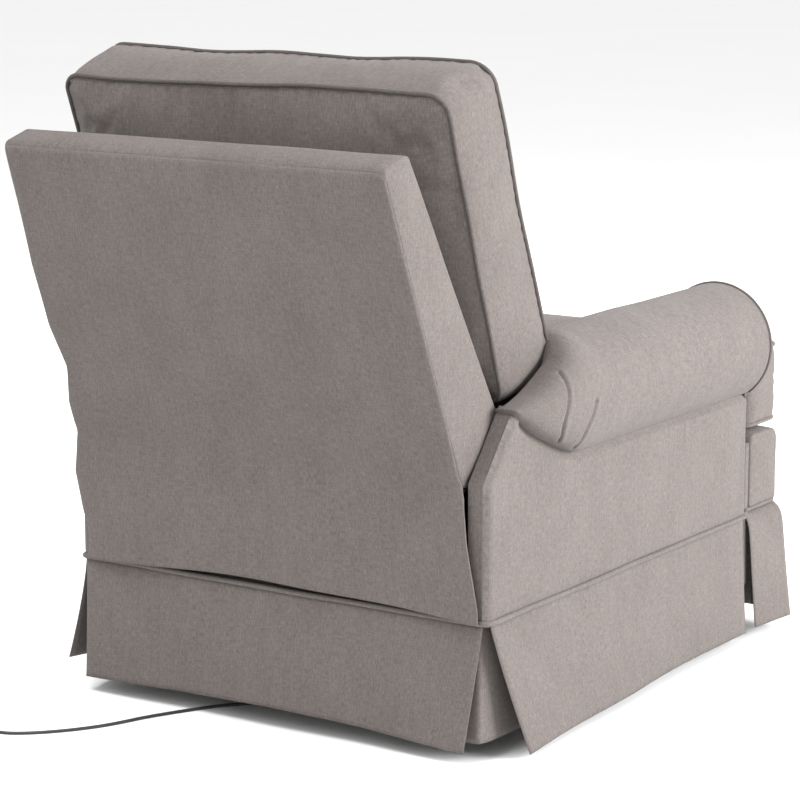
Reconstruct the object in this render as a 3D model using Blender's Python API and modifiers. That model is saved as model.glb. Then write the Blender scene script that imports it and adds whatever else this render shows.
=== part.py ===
"""Glider nursery chair: a skirted, roll-arm power recliner that glides on four hanging links.

Frame: metres, +Z up, the floor at z = 0, the front of the chair towards -Y, and the origin on the
floor under the middle of the chair. Left and right are the sitter's, so left is +X.
"""
from math import atan2, cos, pi, radians, sin

import bmesh
import bpy
from mathutils import Matrix, Vector
from mathutils.geometry import interpolate_bezier

# ---- driving dimensions -------------------------------------------------------------------------
GAP = 0.0005                 # between pieces that touch

# upholstered body
HALF_WIDTH = 0.376           # outer face of the arm panels
ARM_FRONT_Y = -0.437
ARM_REAR_Y = 0.374
SEAM_Z = 0.215               # where the skirt hangs from the body
HEM_Z = 0.021                # skirt's lower edge above the floor
ARM_PANEL = 0.036            # thickness of the outer panel beside the back
ARM_INNER_X = 0.234          # inner face of the arm
ARM_INNER_REAR_Y = 0.160     # the inner arm ends here, clear of the back
ARM_INNER_LOW_Z = 0.120
ARM_BODY_TOP_Z = 0.409
ARM_ROUNDING = 0.005
ARM_PANEL_TOP = (            # y, z of the panel's upper edge, from the rear
    (ARM_REAR_Y, 0.421), (0.300, 0.505), (0.215, 0.440), (0.130, ARM_BODY_TOP_Z),
    (ARM_FRONT_Y, ARM_BODY_TOP_Z))
ROLL_RADIUS = 0.0987
ROLL_X = 0.3187
ROLL_Z = 0.5085
ROLL_OUTLINE = (             # y, z of what is left of the roll, seen from the side
    (ARM_FRONT_Y, 0.380), (0.118, 0.380), (0.130, 0.4120), (0.215, 0.4430), (0.298, 0.5065),
    (0.270, 0.5400), (0.142, 0.6130), (0.100, 0.6400), (ARM_FRONT_Y, 0.6400))
ROLL_BESIDE_BACK_Y = 0.205   # behind this the roll is only as thick as the outer panel
SKIRT = 0.006                # thickness of the lined skirt
SKIRT_SLIT = 0.016           # a rear corner's two hems stop this far short of it
SKIRT_INSET = 0.0045         # the side skirt's outer face stands this far inside, less its thickness
INSERT_X = (0.342, 0.3610, 0.3660)     # end of the rear leg, inner and outer face of the side leg
INSERT_Y = (0.310, 0.3605, 0.363)      # end of the side leg, inner and outer face of the rear leg

# back
BACK_HALF_WIDTH = 0.334
BACK_PIVOT = (0.245, 0.329)  # y, z of the recline axis
BACK_OUTLINE = ((0.221, 0.400), (0.381, 0.4155), (0.583, 0.891), (0.522, 0.908))
BACK_CUSHION_HALF_WIDTH = 0.340
BACK_CUSHION_LOW_HALF_WIDTH = 0.228
BACK_CUSHION_OUTLINE = (
    (0.110, 0.516), (0.283, 0.516), (0.498, 0.880), (0.452, 0.982), (0.334, 1.015), (0.128, 0.600))
BACK_CUSHION_ARM_ROOM = (             # y, z of what is cut away where the cushion passes over an arm
    (0.050, 0.450), (0.330, 0.450), (0.330, 0.503), (0.160, 0.621), (0.050, 0.621))
BACK_CUSHION_ROUNDING = 0.012
BACK_BRACKET_TOP = ((0.262, 0.350), (0.330, 0.4100), (0.229, 0.4002))
BACK_BRACKET_BOSS = 0.017
FLAP_HEM_Z = 0.2115
FLAP_HALF_WIDTH = 0.362
FLAP_Y = 0.3775
FLAP_HINGE = (0.381, 0.4147)

# seat
SEAT_HALF_WIDTH = 0.2325
SEAT_BOTTOM_Z = 0.3655
SEAT_TOP_Z = 0.503
SEAT_FRONT_Y = -0.552
SEAT_WING_REAR_Y = -0.4405
SEAT_REAR_Y = 0.095
DECK_THICKNESS = 0.015
DECK_FRONT_Y = -0.435
DECK_REAR_REACH = 0.060      # the deck goes this far behind the cushion
FRONT_RAIL = ((-0.400, -0.3575), (0.3000, 0.3495))     # y and z spans
REAR_RAIL = ((0.335, 0.360), (0.130, 0.300))
BOARD_ROUNDING = 0.003
CUSHION_ROUNDING = 0.014

# footrest
FOOT_PIVOT = (-0.413, 0.282)
FOOT_LINK_LENGTH = 0.2256
FOOT_LINK_DOWN = radians(-80)   # direction of the folded lower link, in the Y-Z plane
FOOT_FRONT_Y = -0.5615
FOOT_TOP_Z = 0.349
FOOT_WELT_Z = 0.223
FOOT_HEM_HINGE_Z = 0.0937
FOOT_HALF_WIDTH = 0.372
FOOT_LINK_RADIUS = 0.012
FOOT_BRACKET_RADIUS = 0.015
FOOT_BRACKET_FRONT_Y = -0.4455
FOOT_BRACKET_DROP = 0.045
FOOT_BOARD_Y = (-0.4620, -0.4460)
FOOT_BOARD_TOP_Z = 0.3400
FOOT_BOARD_ROUNDING = 0.002
FOOT_PAD_REAR_Y = -0.4625
FOOT_PAD_ROUNDING = 0.018
FRONT_SKIRT_Y = -0.5690      # inner face of the front skirt
FRONT_SKIRT_REAR_Y = -0.4470
FRONT_HEM_AXIS_Y = -0.5750

# glide
GLIDE_TOP_Z = 0.215
GLIDE_LINK_LENGTH = 0.120
GLIDE_REAR_Y = 0.130
GLIDE_FRONT_Y = -0.170

# steelwork: distance from the middle plane, and plate thickness
PLATE = 0.006
PLATE_X = 0.197
FOOT_LOWER_X = 0.2045
FOOT_UPPER_X = 0.2125
FOOT_BRACKET_X = 0.2215
GLIDE_LINK_X = 0.206
GLIDE_BRACKET_X = 0.2155
PIN = 0.006                  # pin radius
RUNNING = 0.0004             # radial clearance of a pin in its hole
SLOT_RUNNING = 0.0012        # the front glide link's hole is wider, as the two axes are fixed
PIN_PROUD = 0.002            # a pin's end stands this far out of the plate it turns in
PIN_BITE = 0.001             # and starts this far inside its own plate
MECHANISM_OUTLINE = (        # y, z of the side plate
    (-0.192, 0.080), (0.150, 0.080), (0.168, 0.105), (0.172, 0.215),
    (0.262, 0.312), (0.262, 0.3495), (-0.357, 0.3495), (-0.357, 0.2990), (-0.421, 0.2990),
    (-0.430, 0.2900), (-0.430, 0.2720), (-0.310, 0.2150), (-0.210, 0.105))
TUBE = 0.008                 # torque tube radius

# base
RUNNER_WIDTH = 0.030
RUNNER_Y = (-0.285, 0.245)
RUNNER_Z = (0.0153, 0.045)
CROSS_FRONT_Y = (-0.220, -0.190)
CROSS_REAR_Y = (0.150, 0.180)
FOOT_GLIDE_RADIUS = 0.018
FOOT_GLIDE_INSET = 0.030     # from the runner's end to the foot's middle
BRACKET_BOSS = 0.016
BRACKET_FOOT = 0.040         # half the length of a bracket's foot
LINK_RADIUS = 0.013
STEEL_ROUNDING = 0.003

# drive
RAIL_Y = (-0.3570, 0.0395)
RAIL_Z = (0.300, 0.320)
CARRIAGE_Y = (-0.040, 0.010)
CARRIAGE_HALF_WIDTH = 0.020
CARRIAGE_HEIGHT = 0.017
RAIL_HALF_WIDTH = 0.010
RAIL_ROUNDING = 0.002
MOTOR_LOW = (-0.035, 0.040, 0.260)
MOTOR_HIGH = (0.035, 0.140)            # the deck is just above it
MOTOR_ROUNDING = 0.006

# control on the left arm
CONTROL_CENTRE = (-0.3125, 0.360)      # y, z
CONTROL_HALF_SIZE = (0.029, 0.012)     # to the middles of its corner arcs
CONTROL_CORNER = 0.008
CONTROL_THICKNESS = 0.0060
BUTTON_Y = {"open": -0.330, "close": -0.295}
BUTTON_RADIUS = 0.0090
BUTTON_HOLE_RADIUS = 0.0097
BUTTON_DEPTH = (0.0034, 0.0100)        # from the arm's face to the button's two ends

# power cord: 5 mm, 1.8 m long, of which seven turns are coiled
CORD_RADIUS = 0.0025
CORD_EXIT = (0.0900, 0.2461, 0.0360)
CORD_ROUTE = (
    CORD_EXIT, (0.0900, 0.2620, 0.0330), (0.0920, 0.2830, 0.0110), (0.1014, 0.3059, CORD_RADIUS),
    (0.1260, 0.3330, CORD_RADIUS), (0.1505, 0.3700, CORD_RADIUS), (0.1894, 0.4456, CORD_RADIUS),
    (0.2149, 0.5114, CORD_RADIUS), (0.2432, 0.5603, CORD_RADIUS), (0.2777, 0.6010, CORD_RADIUS),
    (0.3140, 0.6290, CORD_RADIUS), (0.3518, 0.6374, CORD_RADIUS))
COIL_CENTRE = (0.3720, 0.6724)
COIL_INNER = 0.0170
COIL_OUTER = 0.0378
COIL_HEIGHT = 0.0095
PLUG_START = (0.4070, 0.6940)      # where the cord enters the plug's sleeve
PLUG_Z = 0.0070                    # height of its middle
PLUG_SLEEVE_RADII = (0.0036, 0.0052)
PLUG_SLEEVE_LENGTH = 0.0190
PLUG_BODY_Y = (0.0170, 0.0400)     # behind PLUG_START
PLUG_BODY_HALF_WIDTH = 0.0115
PLUG_BLADE_X = 0.0063
PLUG_BLADE_HALF = (0.0008, 0.0032) # half thickness and half height
PLUG_BLADE_Y = (0.0390, 0.0560)
SUPPLY_HALF_LENGTH = 0.045
SUPPLY_DEPTH = 0.040
SUPPLY_Z = (0.0160, 0.0560)
SUPPLY_ROUNDING = 0.004
RELIEF_RADII = (0.0060, 0.0038)

# ---- looks: colour, roughness, metallic ---------------------------------------------------------
LOOKS = {
    "linen_cover": ((0.300, 0.270, 0.255), 0.92, 0.0),
    "wood_frame": ((0.480, 0.330, 0.190), 0.60, 0.0),
    "steel_mechanism": ((0.030, 0.030, 0.032), 0.45, 0.6),
    "rubber_foot": ((0.020, 0.020, 0.020), 0.80, 0.0),
    "black_plastic": ((0.018, 0.018, 0.019), 0.40, 0.0),
    "cord_jacket": ((0.012, 0.012, 0.012), 0.50, 0.0),
}


# ---- tools --------------------------------------------------------------------------------------
def clear_scene():
    for old in list(bpy.data.objects):
        bpy.data.objects.remove(old, do_unlink=True)


def new_collection(name):
    collection = bpy.data.collections.new(name)
    bpy.context.scene.collection.children.link(collection)
    return collection


def make_material(name):
    colour, roughness, metallic = LOOKS[name]
    material = bpy.data.materials.new(name)
    material.use_nodes = True
    shader = material.node_tree.nodes["Principled BSDF"]
    shader.inputs["Base Color"].default_value = (*colour, 1.0)
    shader.inputs["Roughness"].default_value = roughness
    shader.inputs["Metallic"].default_value = metallic
    return material


clear_scene()
CHAIR = new_collection("glider_nursery_chair")
CUTTERS = new_collection("cutters")


def keep_node(obj, name, look, pivot=None):
    """Name a finished piece, give it its own material and hang it on its joint's empty."""
    obj.name = name
    obj.data.name = name
    obj.data.materials.clear()
    obj.data.materials.append(make_material(look))
    for collection in list(obj.users_collection):
        collection.objects.unlink(obj)
    CHAIR.objects.link(obj)
    if pivot is not None:
        obj.parent = pivot
        obj.matrix_parent_inverse = Matrix.Translation(-Vector(pivot["place"]))
    return obj


def make_pivot(name, x, y, z):
    """An empty on a joint's axis, at a place in the chair's frame."""
    empty = bpy.data.objects.new(name, None)
    empty.empty_display_size = 0.05
    empty.location = (x, y, z)
    empty["place"] = (x, y, z)
    CHAIR.objects.link(empty)
    return empty


def as_tool(obj):
    """Turn a piece into a cutter or a partner of a Boolean."""
    for collection in list(obj.users_collection):
        collection.objects.unlink(obj)
    CUTTERS.objects.link(obj)
    obj.hide_render = True
    obj.display_type = "WIRE"
    return obj


def combine(obj, tool, operation):
    modifier = obj.modifiers.new(operation.lower(), "BOOLEAN")
    modifier.operation = operation
    modifier.solver = "EXACT"
    modifier.object = as_tool(tool)


def round_edges(obj, width, segments=2):
    modifier = obj.modifiers.new("rounded_edges", "BEVEL")
    modifier.width = width
    modifier.segments = segments
    modifier.limit_method = "ANGLE"
    modifier.angle_limit = radians(35)
    obj.data.shade_smooth()
    obj.data.set_sharp_from_angle(angle=radians(50))


def block(low, high, rounding=0.0, segments=2):
    """A box between two corners."""
    bpy.ops.mesh.primitive_cube_add(size=1.0)
    obj = bpy.context.object
    size = [b - a for a, b in zip(low, high)]
    obj.data.transform(Matrix.Diagonal((*size, 1.0)))
    obj.location = [(a + b) / 2 for a, b in zip(low, high)]
    if rounding:
        round_edges(obj, rounding, segments)
    return obj


def rod(axis, centre, radius, low, high, sides=24, end_radius=None):
    """A round bar, or a cone, along X, Y or Z, from low to high on that axis."""
    bpy.ops.mesh.primitive_cone_add(
        vertices=sides, radius1=radius, radius2=radius if end_radius is None else end_radius,
        depth=high - low)
    obj = bpy.context.object
    middle = (low + high) / 2
    turn = {"X": Matrix.Rotation(pi / 2, 4, "Y"), "Y": Matrix.Rotation(-pi / 2, 4, "X"),
            "Z": Matrix.Identity(4)}[axis]
    obj.data.transform(turn)
    obj.location = {"X": (middle, *centre), "Y": (centre[0], middle, centre[1]),
                    "Z": (*centre, middle)}[axis]
    obj.data.shade_smooth()
    obj.data.set_sharp_from_angle(angle=radians(50))
    return obj


def circle(centre, radius, count=24):
    return [(centre[0] + radius * cos(2 * pi * i / count), centre[1] + radius * sin(2 * pi * i / count))
            for i in range(count)]


def capsule(start, end, radius, count=8):
    """Outline of a flat link with round ends."""
    heading = atan2(end[1] - start[1], end[0] - start[0])
    points = []
    for centre, first in ((end, heading - pi / 2), (start, heading + pi / 2)):
        for i in range(count + 1):
            angle = first + pi * i / count
            points.append((centre[0] + radius * cos(angle), centre[1] + radius * sin(angle)))
    return points


def prism(axis, outline, low, high, holes=(), rounding=0.0, segments=2):
    """A flat outline, with holes, given a thickness along X (outline y, z), Y (x, z) or Z (x, y)."""
    curve = bpy.data.curves.new("outline", "CURVE")
    curve.dimensions = "2D"
    curve.fill_mode = "BOTH"
    curve.extrude = (high - low) / 2
    for points in (outline, *holes):
        spline = curve.splines.new("POLY")
        spline.points.add(len(points) - 1)
        for point, (u, v) in zip(spline.points, points):
            point.co = (u, v, 0, 1)
        spline.use_cyclic_u = True
    flat = bpy.data.objects.new("outline", curve)
    CUTTERS.objects.link(flat)
    middle = (low + high) / 2
    flat.rotation_euler = {"X": (pi / 2, 0, pi / 2), "Y": (pi / 2, 0, 0), "Z": (0, 0, 0)}[axis]
    flat.location = {"X": (middle, 0, 0), "Y": (0, middle, 0), "Z": (0, 0, middle)}[axis]
    obj = mesh_from_curve(flat)
    if rounding:
        round_edges(obj, rounding, segments)
    return obj


def mesh_from_curve(source):
    """The curve's evaluated surface as a closed mesh object; the curve is removed."""
    bpy.context.view_layer.update()
    graph = bpy.context.evaluated_depsgraph_get()
    mesh = bpy.data.meshes.new_from_object(source.evaluated_get(graph))
    mesh.transform(source.matrix_world)
    bm = bmesh.new()
    bm.from_mesh(mesh)
    bmesh.ops.remove_doubles(bm, verts=bm.verts, dist=0.00001)
    bmesh.ops.recalc_face_normals(bm, faces=bm.faces)
    bm.to_mesh(mesh)
    bm.free()
    bpy.data.objects.remove(source, do_unlink=True)
    obj = bpy.data.objects.new("piece", mesh)
    CUTTERS.objects.link(obj)
    return obj


def span(side, near, far):
    """Two distances from the middle plane as an ascending pair of x on one side, +1 or -1."""
    return tuple(sorted((side * near, side * far)))


def offset(point, angle, distance):
    return (point[0] + distance * cos(angle), point[1] + distance * sin(angle))


SIDES = (("left", 1), ("right", -1))


# ---- base: stands on the floor ------------------------------------------------------------------
def make_base():
    low_x, high_x = GLIDE_BRACKET_X, GLIDE_BRACKET_X + RUNNER_WIDTH
    for word, side in SIDES:
        x0, x1 = span(side, low_x, high_x)
        runner = block((x0, RUNNER_Y[0], RUNNER_Z[0]), (x1, RUNNER_Y[1], RUNNER_Z[1]), STEEL_ROUNDING)
        keep_node(runner, f"base_runner_{word}", "steel_mechanism")
        for end, y in (("front", RUNNER_Y[0] + FOOT_GLIDE_INSET), ("rear", RUNNER_Y[1] - FOOT_GLIDE_INSET)):
            foot = rod("Z", ((x0 + x1) / 2, y), FOOT_GLIDE_RADIUS, 0.0, RUNNER_Z[0] - GAP)
            keep_node(foot, f"floor_glide_{end}_{word}", "rubber_foot")
        for end, y in (("front", GLIDE_FRONT_Y), ("rear", GLIDE_REAR_Y)):
            top = circle((y, GLIDE_TOP_Z), BRACKET_BOSS)[:13]
            foot_z = RUNNER_Z[1] + GAP
            outline = top + [(y - BRACKET_FOOT, foot_z), (y + BRACKET_FOOT, foot_z)]
            hole = circle((y, GLIDE_TOP_Z), PIN + RUNNING)
            bracket = prism("X", outline, *span(side, low_x, low_x + PLATE), holes=[hole])
            keep_node(bracket, f"glide_bracket_{end}_{word}", "steel_mechanism")
    for end, (y0, y1) in (("front", CROSS_FRONT_Y), ("rear", CROSS_REAR_Y)):
        reach = low_x - GAP
        rail = block((-reach, y0, RUNNER_Z[0]), (reach, y1, RUNNER_Z[1]), STEEL_ROUNDING)
        keep_node(rail, f"base_cross_{end}", "steel_mechanism")


# ---- power supply, strain relief, cord, coil and plug -------------------------------------------
def smooth_route(route, steps):
    """Points along a smooth curve through the route's own points, none below the floor."""
    points = [Vector(p) for p in route]
    slopes = []
    for i, here in enumerate(points):
        before = points[max(i - 1, 0)]
        after = points[min(i + 1, len(points) - 1)]
        slopes.append((after - before) / 6)
    path = []
    for i in range(len(points) - 1):
        part = interpolate_bezier(
            points[i], points[i] + slopes[i], points[i + 1] - slopes[i + 1], points[i + 1], steps + 1)
        path.extend(part[:-1])
    path.append(points[-1])
    return [(x, y, max(z, CORD_RADIUS)) for x, y, z in path]


def make_cord():
    rear = CROSS_REAR_Y[1] + GAP
    x, _, z = CORD_EXIT
    supply = block((x - SUPPLY_HALF_LENGTH, rear, SUPPLY_Z[0]),
                   (x + SUPPLY_HALF_LENGTH, rear + SUPPLY_DEPTH, SUPPLY_Z[1]), SUPPLY_ROUNDING)
    keep_node(supply, "power_supply", "black_plastic")
    relief = rod("Y", (x, z), RELIEF_RADII[0], rear + SUPPLY_DEPTH + GAP, CORD_EXIT[1] - GAP, 16,
                 RELIEF_RADII[1])
    keep_node(relief, "cord_strain_relief", "black_plastic")

    curve = bpy.data.curves.new("power_cord", "CURVE")
    curve.dimensions = "3D"
    curve.bevel_depth = CORD_RADIUS
    curve.bevel_resolution = 2
    curve.resolution_u = 1
    curve.render_resolution_u = 0
    curve.use_fill_caps = True
    path = smooth_route(CORD_ROUTE, 5)
    spline = curve.splines.new("POLY")
    spline.points.add(len(path) - 1)
    for point, place in zip(spline.points, path):
        point.co = (*place, 1)
    cord = bpy.data.objects.new("power_cord", curve)
    CUTTERS.objects.link(cord)
    keep_node(cord, "power_cord", "cord_jacket")

    wall = circle(COIL_CENTRE, COIL_OUTER, 40)
    hollow = circle(COIL_CENTRE, COIL_INNER, 32)
    coil = prism("Z", wall, 0.0, COIL_HEIGHT, holes=[hollow])
    keep_node(coil, "power_cord_coil", "cord_jacket")
    make_plug()


def make_plug():
    """A flat two-blade plug that lies on the floor, its sleeve towards the coil."""
    x, y = PLUG_START
    z = PLUG_Z
    sleeve = rod("Y", (x, z), PLUG_SLEEVE_RADII[0], y, y + PLUG_SLEEVE_LENGTH, 16, PLUG_SLEEVE_RADII[1])
    half = PLUG_BODY_HALF_WIDTH
    body = block((x - half, y + PLUG_BODY_Y[0], 0.0), (x + half, y + PLUG_BODY_Y[1], 2 * z), 0.003)
    combine(body, sleeve, "UNION")
    for side in (-1, 1):
        bx = x + side * PLUG_BLADE_X
        thin, tall = PLUG_BLADE_HALF
        blade = block((bx - thin, y + PLUG_BLADE_Y[0], z - tall), (bx + thin, y + PLUG_BLADE_Y[1], z + tall))
        combine(body, blade, "UNION")
    keep_node(body, "power_plug", "black_plastic")


# ---- glide links --------------------------------------------------------------------------------
def make_glide_links(end, y, pivot):
    low = (y, GLIDE_TOP_Z - GLIDE_LINK_LENGTH)
    high = (y, GLIDE_TOP_Z)
    for word, side in SIDES:
        inner, outer = GLIDE_LINK_X, GLIDE_LINK_X + PLATE
        link = prism("X", capsule(low, high, LINK_RADIUS), *span(side, inner, outer))
        top_pin = rod("X", high, PIN, *span(side, inner + PIN_BITE, GLIDE_BRACKET_X + PLATE + PIN_PROUD))
        low_pin = rod("X", low, PIN, *span(side, PLATE_X - PIN_PROUD, outer - PIN_BITE))
        combine(link, top_pin, "UNION")
        combine(link, low_pin, "UNION")
        keep_node(link, f"glide_link_{end}_{word}", "steel_mechanism", pivot)


# ---- chassis: mechanism, seat and arms ----------------------------------------------------------
def make_mechanism(pivot):
    low_z = GLIDE_TOP_Z - GLIDE_LINK_LENGTH
    holes = [
        circle((GLIDE_REAR_Y, low_z), PIN + RUNNING),
        circle((GLIDE_FRONT_Y, low_z), PIN + SLOT_RUNNING),
        circle(FOOT_PIVOT, TUBE + RUNNING),
        circle(BACK_PIVOT, PIN + RUNNING)]
    for word, side in SIDES:
        plate = prism("X", MECHANISM_OUTLINE, *span(side, PLATE_X, PLATE_X + PLATE), holes=holes)
        keep_node(plate, f"mechanism_plate_{word}", "steel_mechanism", pivot)


def make_seat(pivot):
    reach = ARM_INNER_X - GAP
    (y0, y1), (z0, z1) = FRONT_RAIL
    front = block((-reach, y0, z0), (reach, y1, z1), BOARD_ROUNDING)
    keep_node(front, "frame_rail_front", "wood_frame", pivot)
    rear_reach = HALF_WIDTH - ARM_PANEL - GAP
    (y0, y1), (z0, z1) = REAR_RAIL
    rear = block((-rear_reach, y0, z0), (rear_reach, y1, z1), BOARD_ROUNDING)
    keep_node(rear, "frame_rail_rear", "wood_frame", pivot)
    deck = block((-reach, DECK_FRONT_Y, SEAT_BOTTOM_Z - GAP - DECK_THICKNESS),
                 (reach, SEAT_REAR_Y + DECK_REAR_REACH, SEAT_BOTTOM_Z - GAP), BOARD_ROUNDING)
    keep_node(deck, "seat_deck", "wood_frame", pivot)

    wing_x = HALF_WIDTH - 0.002
    stem_x = SEAT_HALF_WIDTH - 0.001
    cushion = block((-wing_x, SEAT_FRONT_Y, SEAT_BOTTOM_Z), (wing_x, SEAT_WING_REAR_Y, SEAT_TOP_Z),
                    CUSHION_ROUNDING)
    stem = block((-stem_x, SEAT_FRONT_Y + 0.040, SEAT_BOTTOM_Z), (stem_x, SEAT_REAR_Y, SEAT_TOP_Z),
                 CUSHION_ROUNDING)
    combine(cushion, stem, "UNION")
    keep_node(cushion, "seat_cushion", "linen_cover", pivot)


def make_arms(pivot):
    """Each arm is an outer panel, an inner box and a padded roll that is cut back behind."""
    panel_outline = [(ARM_FRONT_Y, SEAM_Z), (ARM_REAR_Y, SEAM_Z), *ARM_PANEL_TOP]
    for word, side in SIDES:
        inside_x = HALF_WIDTH - ARM_PANEL
        panel = prism("X", panel_outline, *span(side, inside_x, HALF_WIDTH), rounding=ARM_ROUNDING)
        keep_node(panel, f"arm_panel_{word}", "linen_cover", pivot)

        x0, x1 = span(side, ARM_INNER_X, inside_x - GAP)
        inner = block((x0, ARM_FRONT_Y, ARM_INNER_LOW_Z), (x1, ARM_INNER_REAR_Y, ARM_BODY_TOP_Z), ARM_ROUNDING)
        keep_node(inner, f"arm_inner_{word}", "linen_cover", pivot)

        roll = rod("Y", (side * ROLL_X, ROLL_Z), ROLL_RADIUS, ARM_FRONT_Y, 0.320, 40)
        shape = prism("X", ROLL_OUTLINE, *span(side, SEAT_HALF_WIDTH, 0.450))
        combine(roll, shape, "INTERSECT")
        x0, x1 = span(side, 0.200, inside_x - 0.001)
        beside_back = block((x0, ROLL_BESIDE_BACK_Y, 0.300), (x1, 0.400, 0.700))
        combine(roll, beside_back, "DIFFERENCE")
        keep_node(roll, f"arm_roll_{word}", "linen_cover", pivot)


def make_skirts(pivot):
    top_z = SEAM_Z - GAP
    front_y, rear_y = ARM_FRONT_Y + 0.002, ARM_REAR_Y - 0.008
    for word, side in SIDES:
        outline = [(front_y, HEM_Z), (rear_y - SKIRT_SLIT, HEM_Z), (rear_y, top_z), (front_y, top_z)]
        skirt_x = HALF_WIDTH - SKIRT_INSET
        skirt = prism("X", outline, *span(side, skirt_x, skirt_x + SKIRT))
        keep_node(skirt, f"side_skirt_{word}", "linen_cover", pivot)

        x_end, x_leg, x_out = (side * x for x in INSERT_X)
        y_end, y_leg, y_out = INSERT_Y
        insert = prism("Z", [(x_out, y_end), (x_out, y_out), (x_end, y_out), (x_end, y_leg),
                             (x_leg, y_leg), (x_leg, y_end)], HEM_Z + 0.003, top_z)
        keep_node(insert, f"skirt_insert_{word}", "linen_cover", pivot)

    reach = HALF_WIDTH - 0.010
    hem_reach = reach - SKIRT_SLIT
    outline = [(-hem_reach, HEM_Z), (hem_reach, HEM_Z), (reach, top_z), (-reach, top_z)]
    rear = prism("Y", outline, ARM_REAR_Y - 0.004, ARM_REAR_Y - 0.004 + SKIRT)
    keep_node(rear, "rear_skirt", "linen_cover", pivot)


def make_drive(pivot, carriage_pivot):
    """Motor, rail and carriage: the carriage runs along the rail and drives the footrest."""
    deck_z = SEAT_BOTTOM_Z - GAP - DECK_THICKNESS
    motor = block(MOTOR_LOW, (*MOTOR_HIGH, deck_z - GAP), MOTOR_ROUNDING)
    keep_node(motor, "motor_housing", "black_plastic", pivot)
    rail = block((-RAIL_HALF_WIDTH, RAIL_Y[0], RAIL_Z[0]), (RAIL_HALF_WIDTH, RAIL_Y[1], RAIL_Z[1]),
                 RAIL_ROUNDING)
    keep_node(rail, "motor_rail", "steel_mechanism", pivot)
    top_z = RAIL_Z[0] - GAP
    carriage = block((-CARRIAGE_HALF_WIDTH, CARRIAGE_Y[0], top_z - CARRIAGE_HEIGHT),
                     (CARRIAGE_HALF_WIDTH, CARRIAGE_Y[1], top_z), RAIL_ROUNDING)
    keep_node(carriage, "drive_carriage", "black_plastic", carriage_pivot)


def make_control(pivot, button_pivots):
    """Two-button control on the outer face of the left arm."""
    middle_y, z = CONTROL_CENTRE
    half_y, half_z = CONTROL_HALF_SIZE
    corners = [offset((middle_y + sy * half_y, z + sz * half_z), a, CONTROL_CORNER)
               for sy, sz, first in ((1, 1, 0), (-1, 1, 90), (-1, -1, 180), (1, -1, 270))
               for a in (radians(first + 15 * i) for i in range(7))]
    holes = [circle((y, z), BUTTON_HOLE_RADIUS) for y in BUTTON_Y.values()]
    face_x = HALF_WIDTH + GAP
    panel = prism("X", corners, face_x, face_x + CONTROL_THICKNESS, holes=holes)
    keep_node(panel, "control_panel", "black_plastic", pivot)
    for word, y in BUTTON_Y.items():
        near, far = (HALF_WIDTH + depth for depth in BUTTON_DEPTH)
        button = rod("X", (y, z), BUTTON_RADIUS, near, far)
        keep_node(button, f"button_{word}", "black_plastic", button_pivots[word])


# ---- back ---------------------------------------------------------------------------------------
def make_back(pivot, flap_pivot):
    slab = prism("X", BACK_OUTLINE, -BACK_HALF_WIDTH, BACK_HALF_WIDTH, rounding=0.006)
    keep_node(slab, "back_frame", "linen_cover", pivot)

    cushion = prism("X", BACK_CUSHION_OUTLINE, -BACK_CUSHION_HALF_WIDTH, BACK_CUSHION_HALF_WIDTH)
    for _, side in SIDES:
        room = prism("X", BACK_CUSHION_ARM_ROOM, *span(side, BACK_CUSHION_LOW_HALF_WIDTH, 0.400))
        combine(cushion, room, "DIFFERENCE")
    round_edges(cushion, BACK_CUSHION_ROUNDING)
    keep_node(cushion, "back_cushion", "linen_cover", pivot)

    for word, side in SIDES:
        near, far = FOOT_LOWER_X, FOOT_LOWER_X + PLATE
        outline = [*circle(BACK_PIVOT, BACK_BRACKET_BOSS)[12:], *BACK_BRACKET_TOP]
        bracket = prism("X", outline, *span(side, near, far))
        pin = rod("X", BACK_PIVOT, PIN, *span(side, PLATE_X - PIN_PROUD, far - PIN_BITE))
        combine(bracket, pin, "UNION")
        keep_node(bracket, f"back_bracket_{word}", "steel_mechanism", pivot)

    flap = block((-FLAP_HALF_WIDTH, FLAP_Y, FLAP_HEM_Z), (FLAP_HALF_WIDTH, FLAP_Y + SKIRT, FLAP_HINGE[1]))
    keep_node(flap, "rear_flap", "linen_cover", flap_pivot)


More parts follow.
